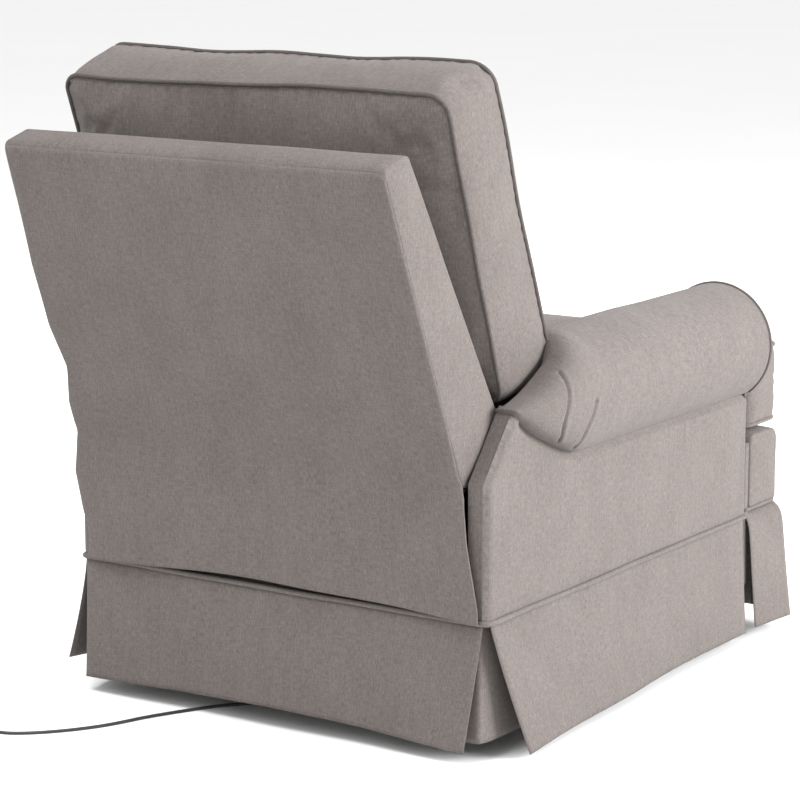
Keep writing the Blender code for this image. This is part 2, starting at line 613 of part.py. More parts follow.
# ---- footrest -----------------------------------------------------------------------------------
def make_footrest(lower_pivot, upper_pivot, board_pivot, hem_pivot):
    knee = offset(FOOT_PIVOT, FOOT_LINK_DOWN, FOOT_LINK_LENGTH)
    reach = FOOT_LOWER_X - GAP
    tube = rod("X", FOOT_PIVOT, TUBE, -reach, reach)
    keep_node(tube, "footrest_torque_tube", "steel_mechanism", lower_pivot)
    outline = capsule(FOOT_PIVOT, knee, FOOT_LINK_RADIUS)
    for word, side in SIDES:
        near, far = FOOT_LOWER_X, FOOT_LOWER_X + PLATE
        lower = prism("X", outline, *span(side, near, far))
        pin = rod("X", knee, PIN, *span(side, near + PIN_BITE, FOOT_UPPER_X + PLATE + PIN_PROUD))
        combine(lower, pin, "UNION")
        keep_node(lower, f"footrest_link_lower_{word}", "steel_mechanism", lower_pivot)

        near, far = FOOT_UPPER_X, FOOT_UPPER_X + PLATE
        upper = prism("X", outline, *span(side, near, far), holes=[circle(knee, PIN + RUNNING)])
        pin = rod("X", FOOT_PIVOT, PIN, *span(side, near + PIN_BITE, FOOT_BRACKET_X + PLATE + PIN_PROUD))
        combine(upper, pin, "UNION")
        keep_node(upper, f"footrest_link_upper_{word}", "steel_mechanism", upper_pivot)

        y, z = FOOT_PIVOT
        boss = circle((y, z), FOOT_BRACKET_RADIUS)
        front_y = FOOT_BRACKET_FRONT_Y
        plate = [(front_y, z - FOOT_BRACKET_DROP), (front_y, z + FOOT_BRACKET_RADIUS),
                 *reversed(boss[:7]), *reversed(boss[18:])]
        bracket = prism("X", plate, *span(side, FOOT_BRACKET_X, FOOT_BRACKET_X + PLATE),
                        holes=[circle(FOOT_PIVOT, PIN + RUNNING)])
        keep_node(bracket, f"footrest_bracket_{word}", "steel_mechanism", board_pivot)

    half = FOOT_HALF_WIDTH
    low_z = FOOT_HEM_HINGE_Z + GAP
    board = block((-half + GAP, FOOT_BOARD_Y[0], low_z), (half - GAP, FOOT_BOARD_Y[1], FOOT_BOARD_TOP_Z),
                  FOOT_BOARD_ROUNDING)
    keep_node(board, "footrest_board", "wood_frame", board_pivot)
    pad = block((-half, FOOT_FRONT_Y, FOOT_WELT_Z), (half, FOOT_PAD_REAR_Y, FOOT_TOP_Z),
                FOOT_PAD_ROUNDING, 3)
    keep_node(pad, "footrest_pad", "linen_cover", board_pivot)

    front, rear = FRONT_SKIRT_Y, FRONT_SKIRT_REAR_Y
    skirt = wrap_outline(half, front, rear)
    keep_node(prism("Z", skirt, low_z, FOOT_WELT_Z - GAP), "front_skirt", "linen_cover", board_pivot)
    hem = wrap_outline(half + SKIRT + GAP, front - SKIRT - GAP, rear)
    keep_node(prism("Z", hem, HEM_Z, FOOT_HEM_HINGE_Z - GAP), "front_skirt_hem", "linen_cover", hem_pivot)


def wrap_outline(half, front, rear):
    """A three-sided wall of skirt thickness around the front, open behind."""
    out = half + SKIRT
    return [(-out, rear), (-out, front - SKIRT), (out, front - SKIRT), (out, rear), (half, rear),
            (half, front), (-half, front), (-half, rear)]


# ---- assembly -----------------------------------------------------------------------------------
def build():
    knee = offset(FOOT_PIVOT, FOOT_LINK_DOWN, FOOT_LINK_LENGTH)
    glide_low_z = GLIDE_TOP_Z - GLIDE_LINK_LENGTH
    glide_rear = make_pivot("glide_rear_axis", 0, GLIDE_REAR_Y, GLIDE_TOP_Z)
    glide_front = make_pivot("glide_front_axis", 0, GLIDE_FRONT_Y, GLIDE_TOP_Z)
    chassis = make_pivot("chassis_axis", 0, GLIDE_REAR_Y, glide_low_z)
    back = make_pivot("recline_axis", 0, *BACK_PIVOT)
    flap = make_pivot("flap_axis", 0, *FLAP_HINGE)
    foot_lower = make_pivot("footrest_axis", 0, *FOOT_PIVOT)
    foot_upper = make_pivot("footrest_knee_axis", 0, *knee)
    foot_board = make_pivot("footrest_board_axis", 0, *FOOT_PIVOT)
    foot_hem = make_pivot("front_hem_axis", 0, FRONT_HEM_AXIS_Y, FOOT_HEM_HINGE_Z)
    carriage = make_pivot("carriage_start", 0, CARRIAGE_Y[1], RAIL_Z[0])
    buttons = {word: make_pivot(f"button_{word}_start", HALF_WIDTH, y, CONTROL_CENTRE[1])
               for word, y in BUTTON_Y.items()}

    make_base()
    make_cord()
    make_glide_links("rear", GLIDE_REAR_Y, glide_rear)
    make_glide_links("front", GLIDE_FRONT_Y, glide_front)
    make_mechanism(chassis)
    make_seat(chassis)
    make_arms(chassis)
    make_skirts(chassis)
    make_drive(chassis, carriage)
    make_control(chassis, buttons)
    make_back(back, flap)
    make_footrest(foot_lower, foot_upper, foot_board, foot_hem)


build()
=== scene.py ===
"""Looks of the glider nursery chair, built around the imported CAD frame."""
from math import cos, pi, radians, sin

import bmesh
import bpy
import numpy as np
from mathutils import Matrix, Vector, noise
from mathutils.geometry import delaunay_2d_cdt


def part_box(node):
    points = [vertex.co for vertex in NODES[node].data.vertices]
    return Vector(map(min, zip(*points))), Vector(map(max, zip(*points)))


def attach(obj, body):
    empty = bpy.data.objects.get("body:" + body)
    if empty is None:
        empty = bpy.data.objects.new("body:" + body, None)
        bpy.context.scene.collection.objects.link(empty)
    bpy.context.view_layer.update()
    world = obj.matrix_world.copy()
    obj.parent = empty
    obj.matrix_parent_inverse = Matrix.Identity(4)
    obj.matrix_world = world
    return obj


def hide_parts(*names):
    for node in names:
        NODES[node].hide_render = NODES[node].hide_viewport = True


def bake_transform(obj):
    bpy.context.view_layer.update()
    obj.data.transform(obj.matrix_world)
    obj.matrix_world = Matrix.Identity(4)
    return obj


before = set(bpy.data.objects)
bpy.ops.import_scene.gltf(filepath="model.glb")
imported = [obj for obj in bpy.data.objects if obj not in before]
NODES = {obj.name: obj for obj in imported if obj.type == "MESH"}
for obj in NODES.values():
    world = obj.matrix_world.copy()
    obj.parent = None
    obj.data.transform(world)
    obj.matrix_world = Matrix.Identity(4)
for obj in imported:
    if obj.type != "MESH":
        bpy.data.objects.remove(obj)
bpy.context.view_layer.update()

SIDES = (("left", 1), ("right", -1))

# ---- the chair's own sizes, as the frame has them ----
HALF_WIDTH = 0.376                # outer face of the arms
ARM_FRONT = -0.437
ARM_REAR = 0.376
ARM_INNER_X = 0.234
SEAM_Z = 0.2175                   # welt between the body and the skirt
HEM_Z = 0.021
ROLL_X, ROLL_Z, ROLL_RADIUS = 0.3187, 0.5085, 0.0985
SLAB_HALF_WIDTH = 0.334
SLAB_REAR = ((0.381, 0.4155), (0.583, 0.891))       # (y, z) of the outside back's rear face
WELT = 0.0033                     # radius of the piping
CLOTH = 0.0026                    # thickness of one lined sheet


# ---- camera, light and floor ----
def look_along(toward):
    """A rotation that looks along `toward` with the picture's top upward."""
    return Vector(toward).to_track_quat("-Z", "Y").to_euler()


def add_camera(position, toward, lens):
    camera = bpy.data.objects.new("camera", bpy.data.cameras.new("camera"))
    camera.data.lens = lens
    camera.data.sensor_width = 36.0
    camera.data.clip_end = 50.0
    camera.location = position
    camera.rotation_euler = look_along(toward)
    bpy.context.scene.collection.objects.link(camera)
    bpy.context.scene.camera = camera


def add_area_light(name, position, target, size, watts, colour):
    light = bpy.data.objects.new(name, bpy.data.lights.new(name, "AREA"))
    light.data.shape = "DISK"
    light.data.size = size
    light.data.energy = watts
    light.data.color = colour
    light.location = position
    light.rotation_euler = look_along(Vector(target) - Vector(position))
    bpy.context.scene.collection.objects.link(light)


def add_world(strength):
    world = bpy.data.worlds.new("studio")
    world.use_nodes = True
    background = world.node_tree.nodes["Background"]
    background.inputs["Color"].default_value = (1.0, 1.0, 1.0, 1.0)
    background.inputs["Strength"].default_value = strength
    bpy.context.scene.world = world


add_camera((-2.4898, 3.8016, 1.3330), (0.5412, -0.8188, -0.1915), 130.2)
add_world(1.0)
add_area_light("key", (-4.2, -1.1, 1.7), (0.0, 0.0, 0.5), 2.6, 410.0, (0.985, 0.99, 0.995))
add_area_light("front_fill", (1.8, -4.4, 2.6), (0.0, 0.0, 0.5), 3.0, 110.0, (1.0, 0.99, 0.98))
add_area_light("overhead", (0.0, 2.2, 4.6), (0.0, 0.2, 0.8), 2.4, 210.0, (0.98, 0.99, 1.0))
add_area_light("rear_fill", (-0.6, 4.4, 3.4), (0.0, 0.2, 0.8), 2.4, 30.0, (1.0, 0.98, 0.96))
bpy.context.scene.view_settings.view_transform = "Standard"


# ---- node materials ----
class Paint:
    """A material's node tree, with short ways to add what the materials here need."""

    def __init__(self, name, roughness, **sockets):
        self.material = bpy.data.materials.new(name)
        self.material.use_nodes = True
        self.tree = self.material.node_tree
        self.shader = self.tree.nodes["Principled BSDF"]
        self.shader.inputs["Roughness"].default_value = roughness
        for socket, value in sockets.items():
            self.shader.inputs[socket.replace("_", " ")].default_value = value

    def node(self, kind, **settings):
        made = self.tree.nodes.new(kind)
        for key, value in settings.items():
            setattr(made, key, value)
        return made

    def put(self, source, target):
        if isinstance(source, bpy.types.NodeSocket):
            self.tree.links.new(source, target)
        else:
            target.default_value = source

    def place(self, cloth):
        """Where a point is, in metres: on its cloth, or in its object."""
        if cloth:
            return self.node("ShaderNodeUVMap", uv_map="cloth").outputs["UV"]
        return self.node("ShaderNodeTexCoord").outputs["Object"]

    def noise(self, place, scale, detail=2.0, roughness=0.55):
        mapping = self.node("ShaderNodeMapping")
        self.put(place, mapping.inputs["Vector"])
        mapping.inputs["Scale"].default_value = scale
        texture = self.node("ShaderNodeTexNoise")
        self.put(mapping.outputs["Vector"], texture.inputs["Vector"])
        texture.inputs["Scale"].default_value = 1.0
        texture.inputs["Detail"].default_value = detail
        texture.inputs["Roughness"].default_value = roughness
        return texture.outputs["Fac"]

    def math(self, operation, a, b=0.0):
        made = self.node("ShaderNodeMath", operation=operation)
        self.put(a, made.inputs[0])
        self.put(b, made.inputs[1])
        return made.outputs[0]

    def total(self, *terms):
        """The sum of some sources, each times its weight."""
        scaled = [self.math("MULTIPLY", source, weight) for source, weight in terms]
        made = scaled[0]
        for term in scaled[1:]:
            made = self.math("ADD", made, term)
        return made

    def between(self, value, low, high, out_low=0.0, out_high=1.0):
        made = self.node("ShaderNodeMapRange", interpolation_type="SMOOTHSTEP")
        for socket, amount in zip(("Value", "From Min", "From Max", "To Min", "To Max"),
                                  (value, low, high, out_low, out_high)):
            self.put(amount, made.inputs[socket])
        return made.outputs["Result"]

    def mix(self, factor, a, b):
        made = self.node("ShaderNodeMix", data_type="RGBA")
        self.put(factor, made.inputs["Factor"])
        self.put(a, made.inputs["A"])
        self.put(b, made.inputs["B"])
        return made.outputs["Result"]

    def bump(self, height, distance, strength):
        made = self.node("ShaderNodeBump")
        self.put(height, made.inputs["Height"])
        made.inputs["Distance"].default_value = distance
        made.inputs["Strength"].default_value = strength
        self.tree.links.new(made.outputs["Normal"], self.shader.inputs["Normal"])

    def colour(self, source):
        self.put(source, self.shader.inputs["Base Color"])


def rgb(red, green, blue):
    return (red, green, blue, 1.0)


THREAD_PITCH = 0.0012              # two threads of the weave


def make_linen(name, dark, light):
    """Plain-weave linen: fine weave, slubs along the warp, a few pale and dark flecks, soft mottling."""
    p = Paint(name, 0.88, Sheen_Weight=0.06, Sheen_Roughness=0.45, Specular_IOR_Level=0.22)
    place = p.place(cloth=True)
    slub = p.noise(place, (520.0, 120.0, 1.0), 2.0)
    streak = p.noise(place, (150.0, 14.0, 1.0), 3.0)
    weft = p.noise(place, (55.0, 620.0, 1.0), 2.0)
    mottle = p.noise(place, (11.0, 8.0, 1.0), 3.0)
    cross = p.node("ShaderNodeSeparateXYZ")
    p.put(place, cross.inputs[0])
    thread = 2.0 * pi / THREAD_PITCH
    warp_thread = p.math("SINE", p.math("MULTIPLY", cross.outputs[0], thread))
    weft_thread = p.math("SINE", p.math("MULTIPLY", cross.outputs[1], thread))
    weave = p.math("MULTIPLY", warp_thread, weft_thread)
    tone = p.total((slub, 0.44), (streak, 0.15), (weft, 0.26), (mottle, 0.14), (weave, 0.03))
    shade = p.mix(p.between(tone, 0.34, 0.66), dark, light)
    pale = p.between(p.noise(place, (300.0, 90.0, 1.0), 1.0), 0.68, 0.76, 0.0, 0.42)
    shade = p.mix(pale, shade, rgb(*(1.35 * c for c in light[:3])))
    deep = p.between(p.noise(place, (260.0, 80.0, 4.0), 1.0), 0.70, 0.78, 0.0, 0.42)
    p.colour(p.mix(deep, shade, rgb(*(0.62 * c for c in dark[:3]))))
    p.bump(p.total((weave, 0.22), (slub, 0.9), (weft, 0.5)), 0.0007, 0.55)
    return p.material


def make_steel():
    """Dark powder-coated steel with rubbed edges and fine texture."""
    p = Paint("painted_steel", 0.42, Metallic=0.35)
    place = p.place(cloth=False)
    grain = p.noise(place, (900.0, 900.0, 900.0), 2.0)
    rub = p.between(p.noise(place, (40.0, 40.0, 12.0), 4.0), 0.62, 0.72, 0.0, 0.7)
    p.colour(p.mix(rub, rgb(0.035, 0.036, 0.038), rgb(0.13, 0.13, 0.13)))
    p.put(p.between(grain, 0.2, 0.8, 0.36, 0.55), p.shader.inputs["Roughness"])
    p.bump(grain, 0.0002, 0.4)
    return p.material


def make_wood():
    """Plain softwood and plywood of the inner frame, grain along X."""
    p = Paint("frame_wood", 0.62)
    place = p.place(cloth=False)
    grain = p.noise(place, (5.0, 90.0, 90.0), 4.0, 0.6)
    pore = p.noise(place, (30.0, 700.0, 700.0), 2.0)
    shade = p.mix(p.between(grain, 0.3, 0.7), rgb(0.27, 0.185, 0.110), rgb(0.38, 0.275, 0.175))
    p.colour(p.mix(p.between(pore, 0.62, 0.72, 0.0, 0.5), shade, rgb(0.24, 0.14, 0.07)))
    p.bump(grain, 0.0004, 0.4)
    return p.material


def make_moulded(name, tone, roughness, scale):
    """Moulded plastic or rubber with a fine spark-eroded grain."""
    p = Paint(name, roughness)
    place = p.place(cloth=False)
    grain = p.noise(place, (scale, scale, scale), 2.0)
    dust = p.noise(place, (60.0, 60.0, 60.0), 4.0)
    lighter = rgb(*(1.9 * c + 0.01 for c in tone[:3]))
    p.colour(p.mix(p.between(dust, 0.5, 0.8, 0.0, 0.6), tone, lighter))
    p.put(p.between(grain, 0.2, 0.8, roughness - 0.06, roughness + 0.08), p.shader.inputs["Roughness"])
    p.bump(grain, 0.0002, 0.35)
    return p.material


def make_floor():
    p = Paint("pale_floor", 0.9)
    place = p.place(cloth=False)
    cloudy = p.noise(place, (1.3, 1.3, 1.3), 2.0)
    p.colour(p.mix(cloudy, rgb(0.87, 0.87, 0.87), rgb(0.90, 0.90, 0.90)))
    return p.material


LINEN = make_linen("linen_cover", rgb(0.088, 0.0755, 0.0700), rgb(0.144, 0.1255, 0.1175))
# The piping's linen is the cover's own colours made darker: painted shade standing in for the tight
# shadows beside the welts.
PIPING_PAINTED_SHADE = make_linen("linen_piping_painted_shade", rgb(0.058, 0.0500, 0.0465), rgb(0.094, 0.0820, 0.0770))
STEEL = make_steel()
WOOD = make_wood()
PLASTIC = make_moulded("black_plastic", rgb(0.022, 0.022, 0.024), 0.42, 2600.0)
RUBBER = make_moulded("rubber_foot", rgb(0.030, 0.030, 0.030), 0.80, 1500.0)
JACKET = make_moulded("cord_jacket", rgb(0.020, 0.020, 0.021), 0.50, 1900.0)

# ---- floor ----
floor_mesh = bpy.data.meshes.new("floor")
floor_mesh.from_pydata([(-30, -30, 0), (30, -30, 0), (30, 30, 0), (-30, 30, 0)], [], [(0, 1, 2, 3)])
floor = bpy.data.objects.new("floor", floor_mesh)
floor.data.materials.append(make_floor())
bpy.context.scene.collection.objects.link(floor)


# ---- power cord ----
CORD_RADIUS = 0.0025
CORD_ROUTE = (
    (0.0900, 0.2461, 0.0360), (0.0900, 0.2620, 0.0330), (0.0920, 0.2830, 0.0110),
    (0.1014, 0.3059, CORD_RADIUS), (0.1260, 0.3330, CORD_RADIUS), (0.1505, 0.3700, CORD_RADIUS),
    (0.1894, 0.4456, CORD_RADIUS), (0.2149, 0.5114, CORD_RADIUS), (0.2432, 0.5603, CORD_RADIUS),
    (0.2777, 0.6010, CORD_RADIUS), (0.3140, 0.6290, CORD_RADIUS), (0.3518, 0.6374, CORD_RADIUS))
COIL_CENTRE = (0.3720, 0.6724)
COIL_RADIUS = 0.035                           # where the cord arrives and where it leaves
COIL_LOWER = (0.030, 0.025, 0.020)            # radii after each turn on the floor, wound inward
COIL_UPPER = (0.0225, 0.0275, 0.0325)         # radii after the turns that lie on them, wound outward
COIL_LIFT = 0.0043
COIL_STEPS = 28                               # points to a turn
PLUG_START = (0.4070, 0.6940, 0.0070)


def catmull(keys, steps):
    """A smooth curve through the key points, `steps` points to each span."""
    k = np.array(keys, float)
    k = np.vstack([2 * k[0] - k[1], k, 2 * k[-1] - k[-2]])
    made = []
    for i in range(1, len(k) - 2):
        for t in np.linspace(0, 1, steps, endpoint=False):
            a, b, c, d = k[i - 1:i + 3]
            made.append(0.5 * (2 * b + (c - a) * t + (2 * a - 5 * b + 4 * c - d) * t ** 2
                               + (3 * b - a - 3 * c + d) * t ** 3))
    made.append(k[-2])
    return np.array(made)


def coil_points():
    """Turns wound inward on the floor and outward on top of them, starting where the cord arrives."""
    turns = [COIL_RADIUS, *COIL_LOWER, *COIL_UPPER, COIL_RADIUS]
    climbing = len(COIL_LOWER)
    made = []
    for i in range(len(turns) - 1):
        for j in range(COIL_STEPS):
            t = j / COIL_STEPS
            part = ease(t)
            radius = turns[i] + (turns[i + 1] - turns[i]) * part
            angle = radians(-90) + 2 * pi * t
            level = part if i == climbing else float(i > climbing)
            made.append((COIL_CENTRE[0] + radius * cos(angle), COIL_CENTRE[1] + radius * sin(angle),
                         CORD_RADIUS + COIL_LIFT * level))
    return made


def make_cord():
    first = catmull(CORD_ROUTE, 6)
    first[:, 2] = np.maximum(first[:, 2], CORD_RADIUS)
    top_z = CORD_RADIUS + COIL_LIFT
    quarter = COIL_STEPS // 4         # a quarter of a turn, from the coil's last turn to the plug
    last = []
    for j in range(quarter + 1):
        angle = radians(-90) + (pi / 2) * j / quarter
        last.append((COIL_CENTRE[0] + COIL_RADIUS * cos(angle), COIL_CENTRE[1] + COIL_RADIUS * sin(angle),
                     top_z))
    tail = [(PLUG_START[0], PLUG_START[1] - 0.012, PLUG_START[2]), PLUG_START]
    points = [tuple(p) for p in first[:-1]] + coil_points() + last + tail
    curve = bpy.data.curves.new("power_cord_flex", "CURVE")
    curve.dimensions = "3D"
    curve.bevel_depth = CORD_RADIUS
    curve.bevel_resolution = 4
    curve.use_fill_caps = True
    spline = curve.splines.new("POLY")
    spline.points.add(len(points) - 1)
    for point, place in zip(spline.points, points):
        point.co = (*place, 1.0)
    curve.materials.append(JACKET)
    flex = bpy.data.objects.new("power_cord_flex", curve)
    bpy.context.scene.collection.objects.link(flex)
    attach(flex, "base")
    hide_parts("power_cord", "power_cord_coil")


# ---- shared shapes ----
def ease(t):
    t = np.clip(t, 0.0, 1.0)
    return t * t * (3 - 2 * t)


def run(points):
    """Distance along a polyline, at each of its points."""
    return np.concatenate([[0.0], np.cumsum(np.linalg.norm(np.diff(points, axis=0), axis=1))])


def resample(points, count):
    points = np.array(points, float)
    s = run(points)
    at = np.linspace(0, s[-1], count)
    return np.stack([np.interp(at, s, points[:, k]) for k in range(points.shape[1])], 1)


def smooth_line(keys, count):
    return resample(catmull(keys, 12), count)


def wander(place, scale, seed):
    """Smooth noise from -1 to 1 at a point."""
    return noise.noise(Vector(place) * scale + Vector((seed * 7.1, seed * 3.7, seed * 1.9)))


def wander_all(points, scale, seed):
    return np.array([wander(p, scale, seed) for p in points])


def drift(points, amount, scale, seed):
    """Smooth shifts of up to amount, a separate one for each axis."""
    return amount * np.stack([wander_all(points, scale, seed + k) for k in range(3)], 1)


def closed(loop):
    return np.vstack([loop, loop[:1]])


def unit(vectors):
    """Vectors along the last axis, each at length 1."""
    return vectors / np.maximum(np.linalg.norm(vectors, axis=-1, keepdims=True), 1e-9)


def sideways(loop, axis):
    """At each point of a closed outline, the direction out of it that is square to an axis."""
    made = unit(np.cross(np.roll(loop, -1, 0) - np.roll(loop, 1, 0), axis))
    centre = loop.mean(0)
    area = np.cross(loop - centre, np.roll(loop, -1, 0) - centre).sum(0) @ axis
    return made if area > 0 else -made


def rounded_loop(keys, spacing, counts=None):
    """A closed outline through (x, y, corner radius) keys; counts repeats another loop's numbers."""
    n = len(keys)
    corners, made, used = [], [], []
    for i in range(n):
        here = np.array(keys[i][:2], float)
        before = np.array(keys[i - 1][:2], float)
        after = np.array(keys[(i + 1) % n][:2], float)
        a, b = before - here, after - here
        a, b = a / np.linalg.norm(a), b / np.linalg.norm(b)
        half = np.arccos(np.clip(a @ b, -1, 1)) / 2
        back_off = keys[i][2] / np.tan(half)
        corners.append((here, here + a * back_off, here + b * back_off, half, keys[i][2]))
    for i in range(n):
        here, start, end, half, radius = corners[i]
        following = corners[(i + 1) % n][1]
        if counts is None:
            arc = 1 if radius < 1e-6 else max(4, int(radius * (pi - 2 * half) / spacing) + 2)
            line = max(1, int(round(np.linalg.norm(following - end) / spacing)))
        else:
            arc, line = counts[i]
        used.append((arc, line))
        if arc == 1:
            made.append(here)
        else:
            centre = here + ((start + end) / 2 - here) / max(cos(half) ** 2, 1e-9)
            v0, v1 = start - centre, end - centre
            turn = np.arctan2(v0[0] * v1[1] - v0[1] * v1[0], v0 @ v1)
            for t in np.linspace(0, 1, arc):
                c, s = cos(turn * t), sin(turn * t)
                made.append(centre + np.array((v0[0] * c - v0[1] * s, v0[0] * s + v0[1] * c)))
        origin = made[-1]
        for t in np.linspace(0, 1, line + 1)[1:-1]:
            made.append(origin + (following - origin) * t)
    return np.array(made), used


def line_distance(points, line):
    """Distance of each point to an open polyline, in 2D or 3D."""
    line = np.array(line, float)
    a, d = line[:-1], np.diff(line, axis=0)
    batch = 4000
    best = np.full(len(points), 1e9)
    for start in range(0, len(points), batch):
        p = points[start:start + batch, None, :]
        t = np.clip(((p - a) * d).sum(2) / np.maximum((d * d).sum(1), 1e-12), 0, 1)
        best[start:start + batch] = np.linalg.norm(a + t[:, :, None] * d - p, axis=2).min(1)
    return best


def inside(points, loop):
    """Which 2D points are inside a closed outline."""
    a, b = loop, np.roll(loop, -1, 0)
    found = np.zeros(len(points), bool)
    for (ax, ay), (bx, by) in zip(a, b):
        if ay == by:
            continue
        crosses = (ay > points[:, 1]) != (by > points[:, 1])
        x = ax + (points[:, 1] - ay) * (bx - ax) / (by - ay)
        found ^= crosses & (points[:, 0] < x)
    return found


EDGE_ROWS = (0.0035, 0.009)       # how far in from a face's edge its finer rows of points lie


def fill_loop(loop, spacing):
    """Points and triangles that fill a closed outline evenly, with finer rows by its edge."""
    low, high = loop.min(0), loop.max(0)
    rows = []
    for i, y in enumerate(np.arange(low[1] + spacing / 2, high[1], spacing * 0.87)):
        x = np.arange(low[0] + spacing * (0.5 + 0.5 * (i % 2)), high[0], spacing)
        rows.append(np.stack([x, np.full(len(x), y)], 1))
    middle = np.vstack(rows)
    middle = middle[inside(middle, loop)]
    middle = middle[line_distance(middle, closed(loop)) > EDGE_ROWS[-1] + 0.55 * spacing]
    ahead, behind = np.roll(loop, -1, 0), np.roll(loop, 1, 0)
    along = ahead - behind
    normal = np.stack([-along[:, 1], along[:, 0]], 1) / np.linalg.norm(along, axis=1)[:, None]
    if not inside(loop[:1] + normal[:1] * 1e-3, loop)[0]:
        normal = -normal
    parts = [loop]
    for distance in EDGE_ROWS:
        row = loop + normal * distance
        keep = inside(row, loop) & (line_distance(row, closed(loop)) > 0.93 * distance)
        parts.append(row[keep])
    parts.append(middle)
    points = np.vstack(parts)
    count = len(loop)
    edges = [(i, (i + 1) % count) for i in range(count)]
    verts, _, faces, _, _, _ = delaunay_2d_cdt(
        [Vector(p) for p in points], edges, [list(range(count))], 1, 1e-7)
    return np.array([tuple(v) for v in verts]), [tuple(f) for f in faces]


class Shell:
    """A mesh being made from patches, each with its own place on the cloth."""

    def __init__(self):
        self.points, self.cloth, self.faces, self.count = [], [], [], 0

    def add(self, points, cloth, faces):
        self.points.append(np.array(points, float).reshape(-1, 3))
        self.cloth.append(np.array(cloth, float).reshape(-1, 2))
        self.faces += [tuple(i + self.count for i in f) for f in faces]
        self.count += len(self.points[-1])

    def grid(self, points, swap=False):
        """A patch of rows; its place on the cloth follows its own lengths, turned if swap is set."""
        m, n = points.shape[:2]
        across = np.mean([run(row) for row in points], 0)
        down = np.mean([run(points[:, j]) for j in range(n)], 0)
        u, v = np.meshgrid(across, down)
        cloth = np.stack([v, u] if swap else [u, v], 2)
        faces = [(i * n + j, i * n + j + 1, (i + 1) * n + j + 1, (i + 1) * n + j)
                 for i in range(m - 1) for j in range(n - 1)]
        self.add(points, cloth, faces)

    def build(self, name, material=None, weld=0.00025):
        mesh = bpy.data.meshes.new(name)
        points = np.vstack(self.points)
        mesh.from_pydata(points.tolist(), [], self.faces)
        cloth = np.vstack(self.cloth)
        corner = np.zeros(len(mesh.loops), np.int32)
        mesh.loops.foreach_get("vertex_index", corner)
        layer = mesh.uv_layers.new(name="cloth")
        layer.data.foreach_set("uv", cloth[corner].astype(np.float32).ravel())
        work = bmesh.new()
        work.from_mesh(mesh)
        bmesh.ops.remove_doubles(work, verts=work.verts, dist=weld)
        bmesh.ops.dissolve_degenerate(work, edges=work.edges, dist=1e-6)
        bmesh.ops.recalc_face_normals(work, faces=work.faces)
        work.to_mesh(mesh)
        work.free()
        mesh.polygons.foreach_set("use_smooth", [True] * len(mesh.polygons))
        mesh.materials.append(material or LINEN)
        piece = bpy.data.objects.new(name, mesh)
        bpy.context.scene.collection.objects.link(piece)
        return piece


def places(piece):
    co = np.zeros(len(piece.data.vertices) * 3)
    piece.data.vertices.foreach_get("co", co)
    return co.reshape(-1, 3)


def set_places(piece, co):
    piece.data.vertices.foreach_set("co", np.asarray(co, float).ravel())
    piece.data.update()


def normals(piece):
    made = np.zeros(len(piece.data.vertices) * 3)
    piece.data.vertices.foreach_get("normal", made)
    return made.reshape(-1, 3)


def push_out(piece, amounts):
    """Moves each point of a piece along its normal."""
    set_places(piece, places(piece) + normals(piece) * amounts[:, None])


def bell(distance, width):
    """1 at no distance, falling off smoothly over a width."""
    return np.exp(-(distance / width) ** 2)


def groove(piece, line, depth, width):
    """Presses a sewn line into a piece, or raises it where depth is negative."""
    push_out(piece, -depth * bell(line_distance(places(piece), line), width))


def rumple(piece, amount, scale, seed, keep=None):
    """Soft hollows and swells of stuffed cloth, by the share that keep gives for its points."""
    co = places(piece)
    push = amount * wander_all(co, scale, seed)
    push_out(piece, push if keep is None else push * keep(co))


CLOTH_FRAMES = 14                 # length of each cloth simulation
CLOTH_SETTINGS = {
    "quality": 5, "mass": 0.25, "tension_stiffness": 12.0, "compression_stiffness": 12.0,
    "shear_stiffness": 6.0, "bending_stiffness": 0.4, "air_damping": 4.0, "use_pressure": True}


def inflate(piece, held, pressure, cap, spare):
    """Lets the cover swell as cloth between its held seams, by no more than cap.

    spare is the share by which the cloth is cut larger than its piece."""
    scene = bpy.context.scene
    before = places(piece)
    group = piece.vertex_groups.new(name="seam")
    group.add([int(i) for i in np.nonzero(held)[0]], 1.0, "REPLACE")
    cloth = piece.modifiers.new("Cloth", "CLOTH")
    settings = cloth.settings
    for key, value in CLOTH_SETTINGS.items():
        setattr(settings, key, value)
    settings.uniform_pressure_force = pressure
    settings.shrink_min = -spare
    settings.vertex_group_mass = "seam"
    settings.effector_weights.gravity = 0.0
    cloth.collision_settings.use_collision = False
    cloth.point_cache.frame_start, cloth.point_cache.frame_end = 1, CLOTH_FRAMES
    for number in range(1, CLOTH_FRAMES + 1):
        scene.frame_set(number)
    graph = bpy.context.evaluated_depsgraph_get()
    solved = piece.evaluated_get(graph)
    after = np.zeros(len(before) * 3)
    solved.data.vertices.foreach_get("co", after)
    move = after.reshape(-1, 3) - before
    length = np.maximum(np.linalg.norm(move, axis=1), 1e-9)
    move = move * (cap * np.tanh(length / cap) / length)[:, None]
    piece.modifiers.remove(cloth)
    piece.vertex_groups.remove(group)
    set_places(piece, before + move)
    scene.frame_set(1)


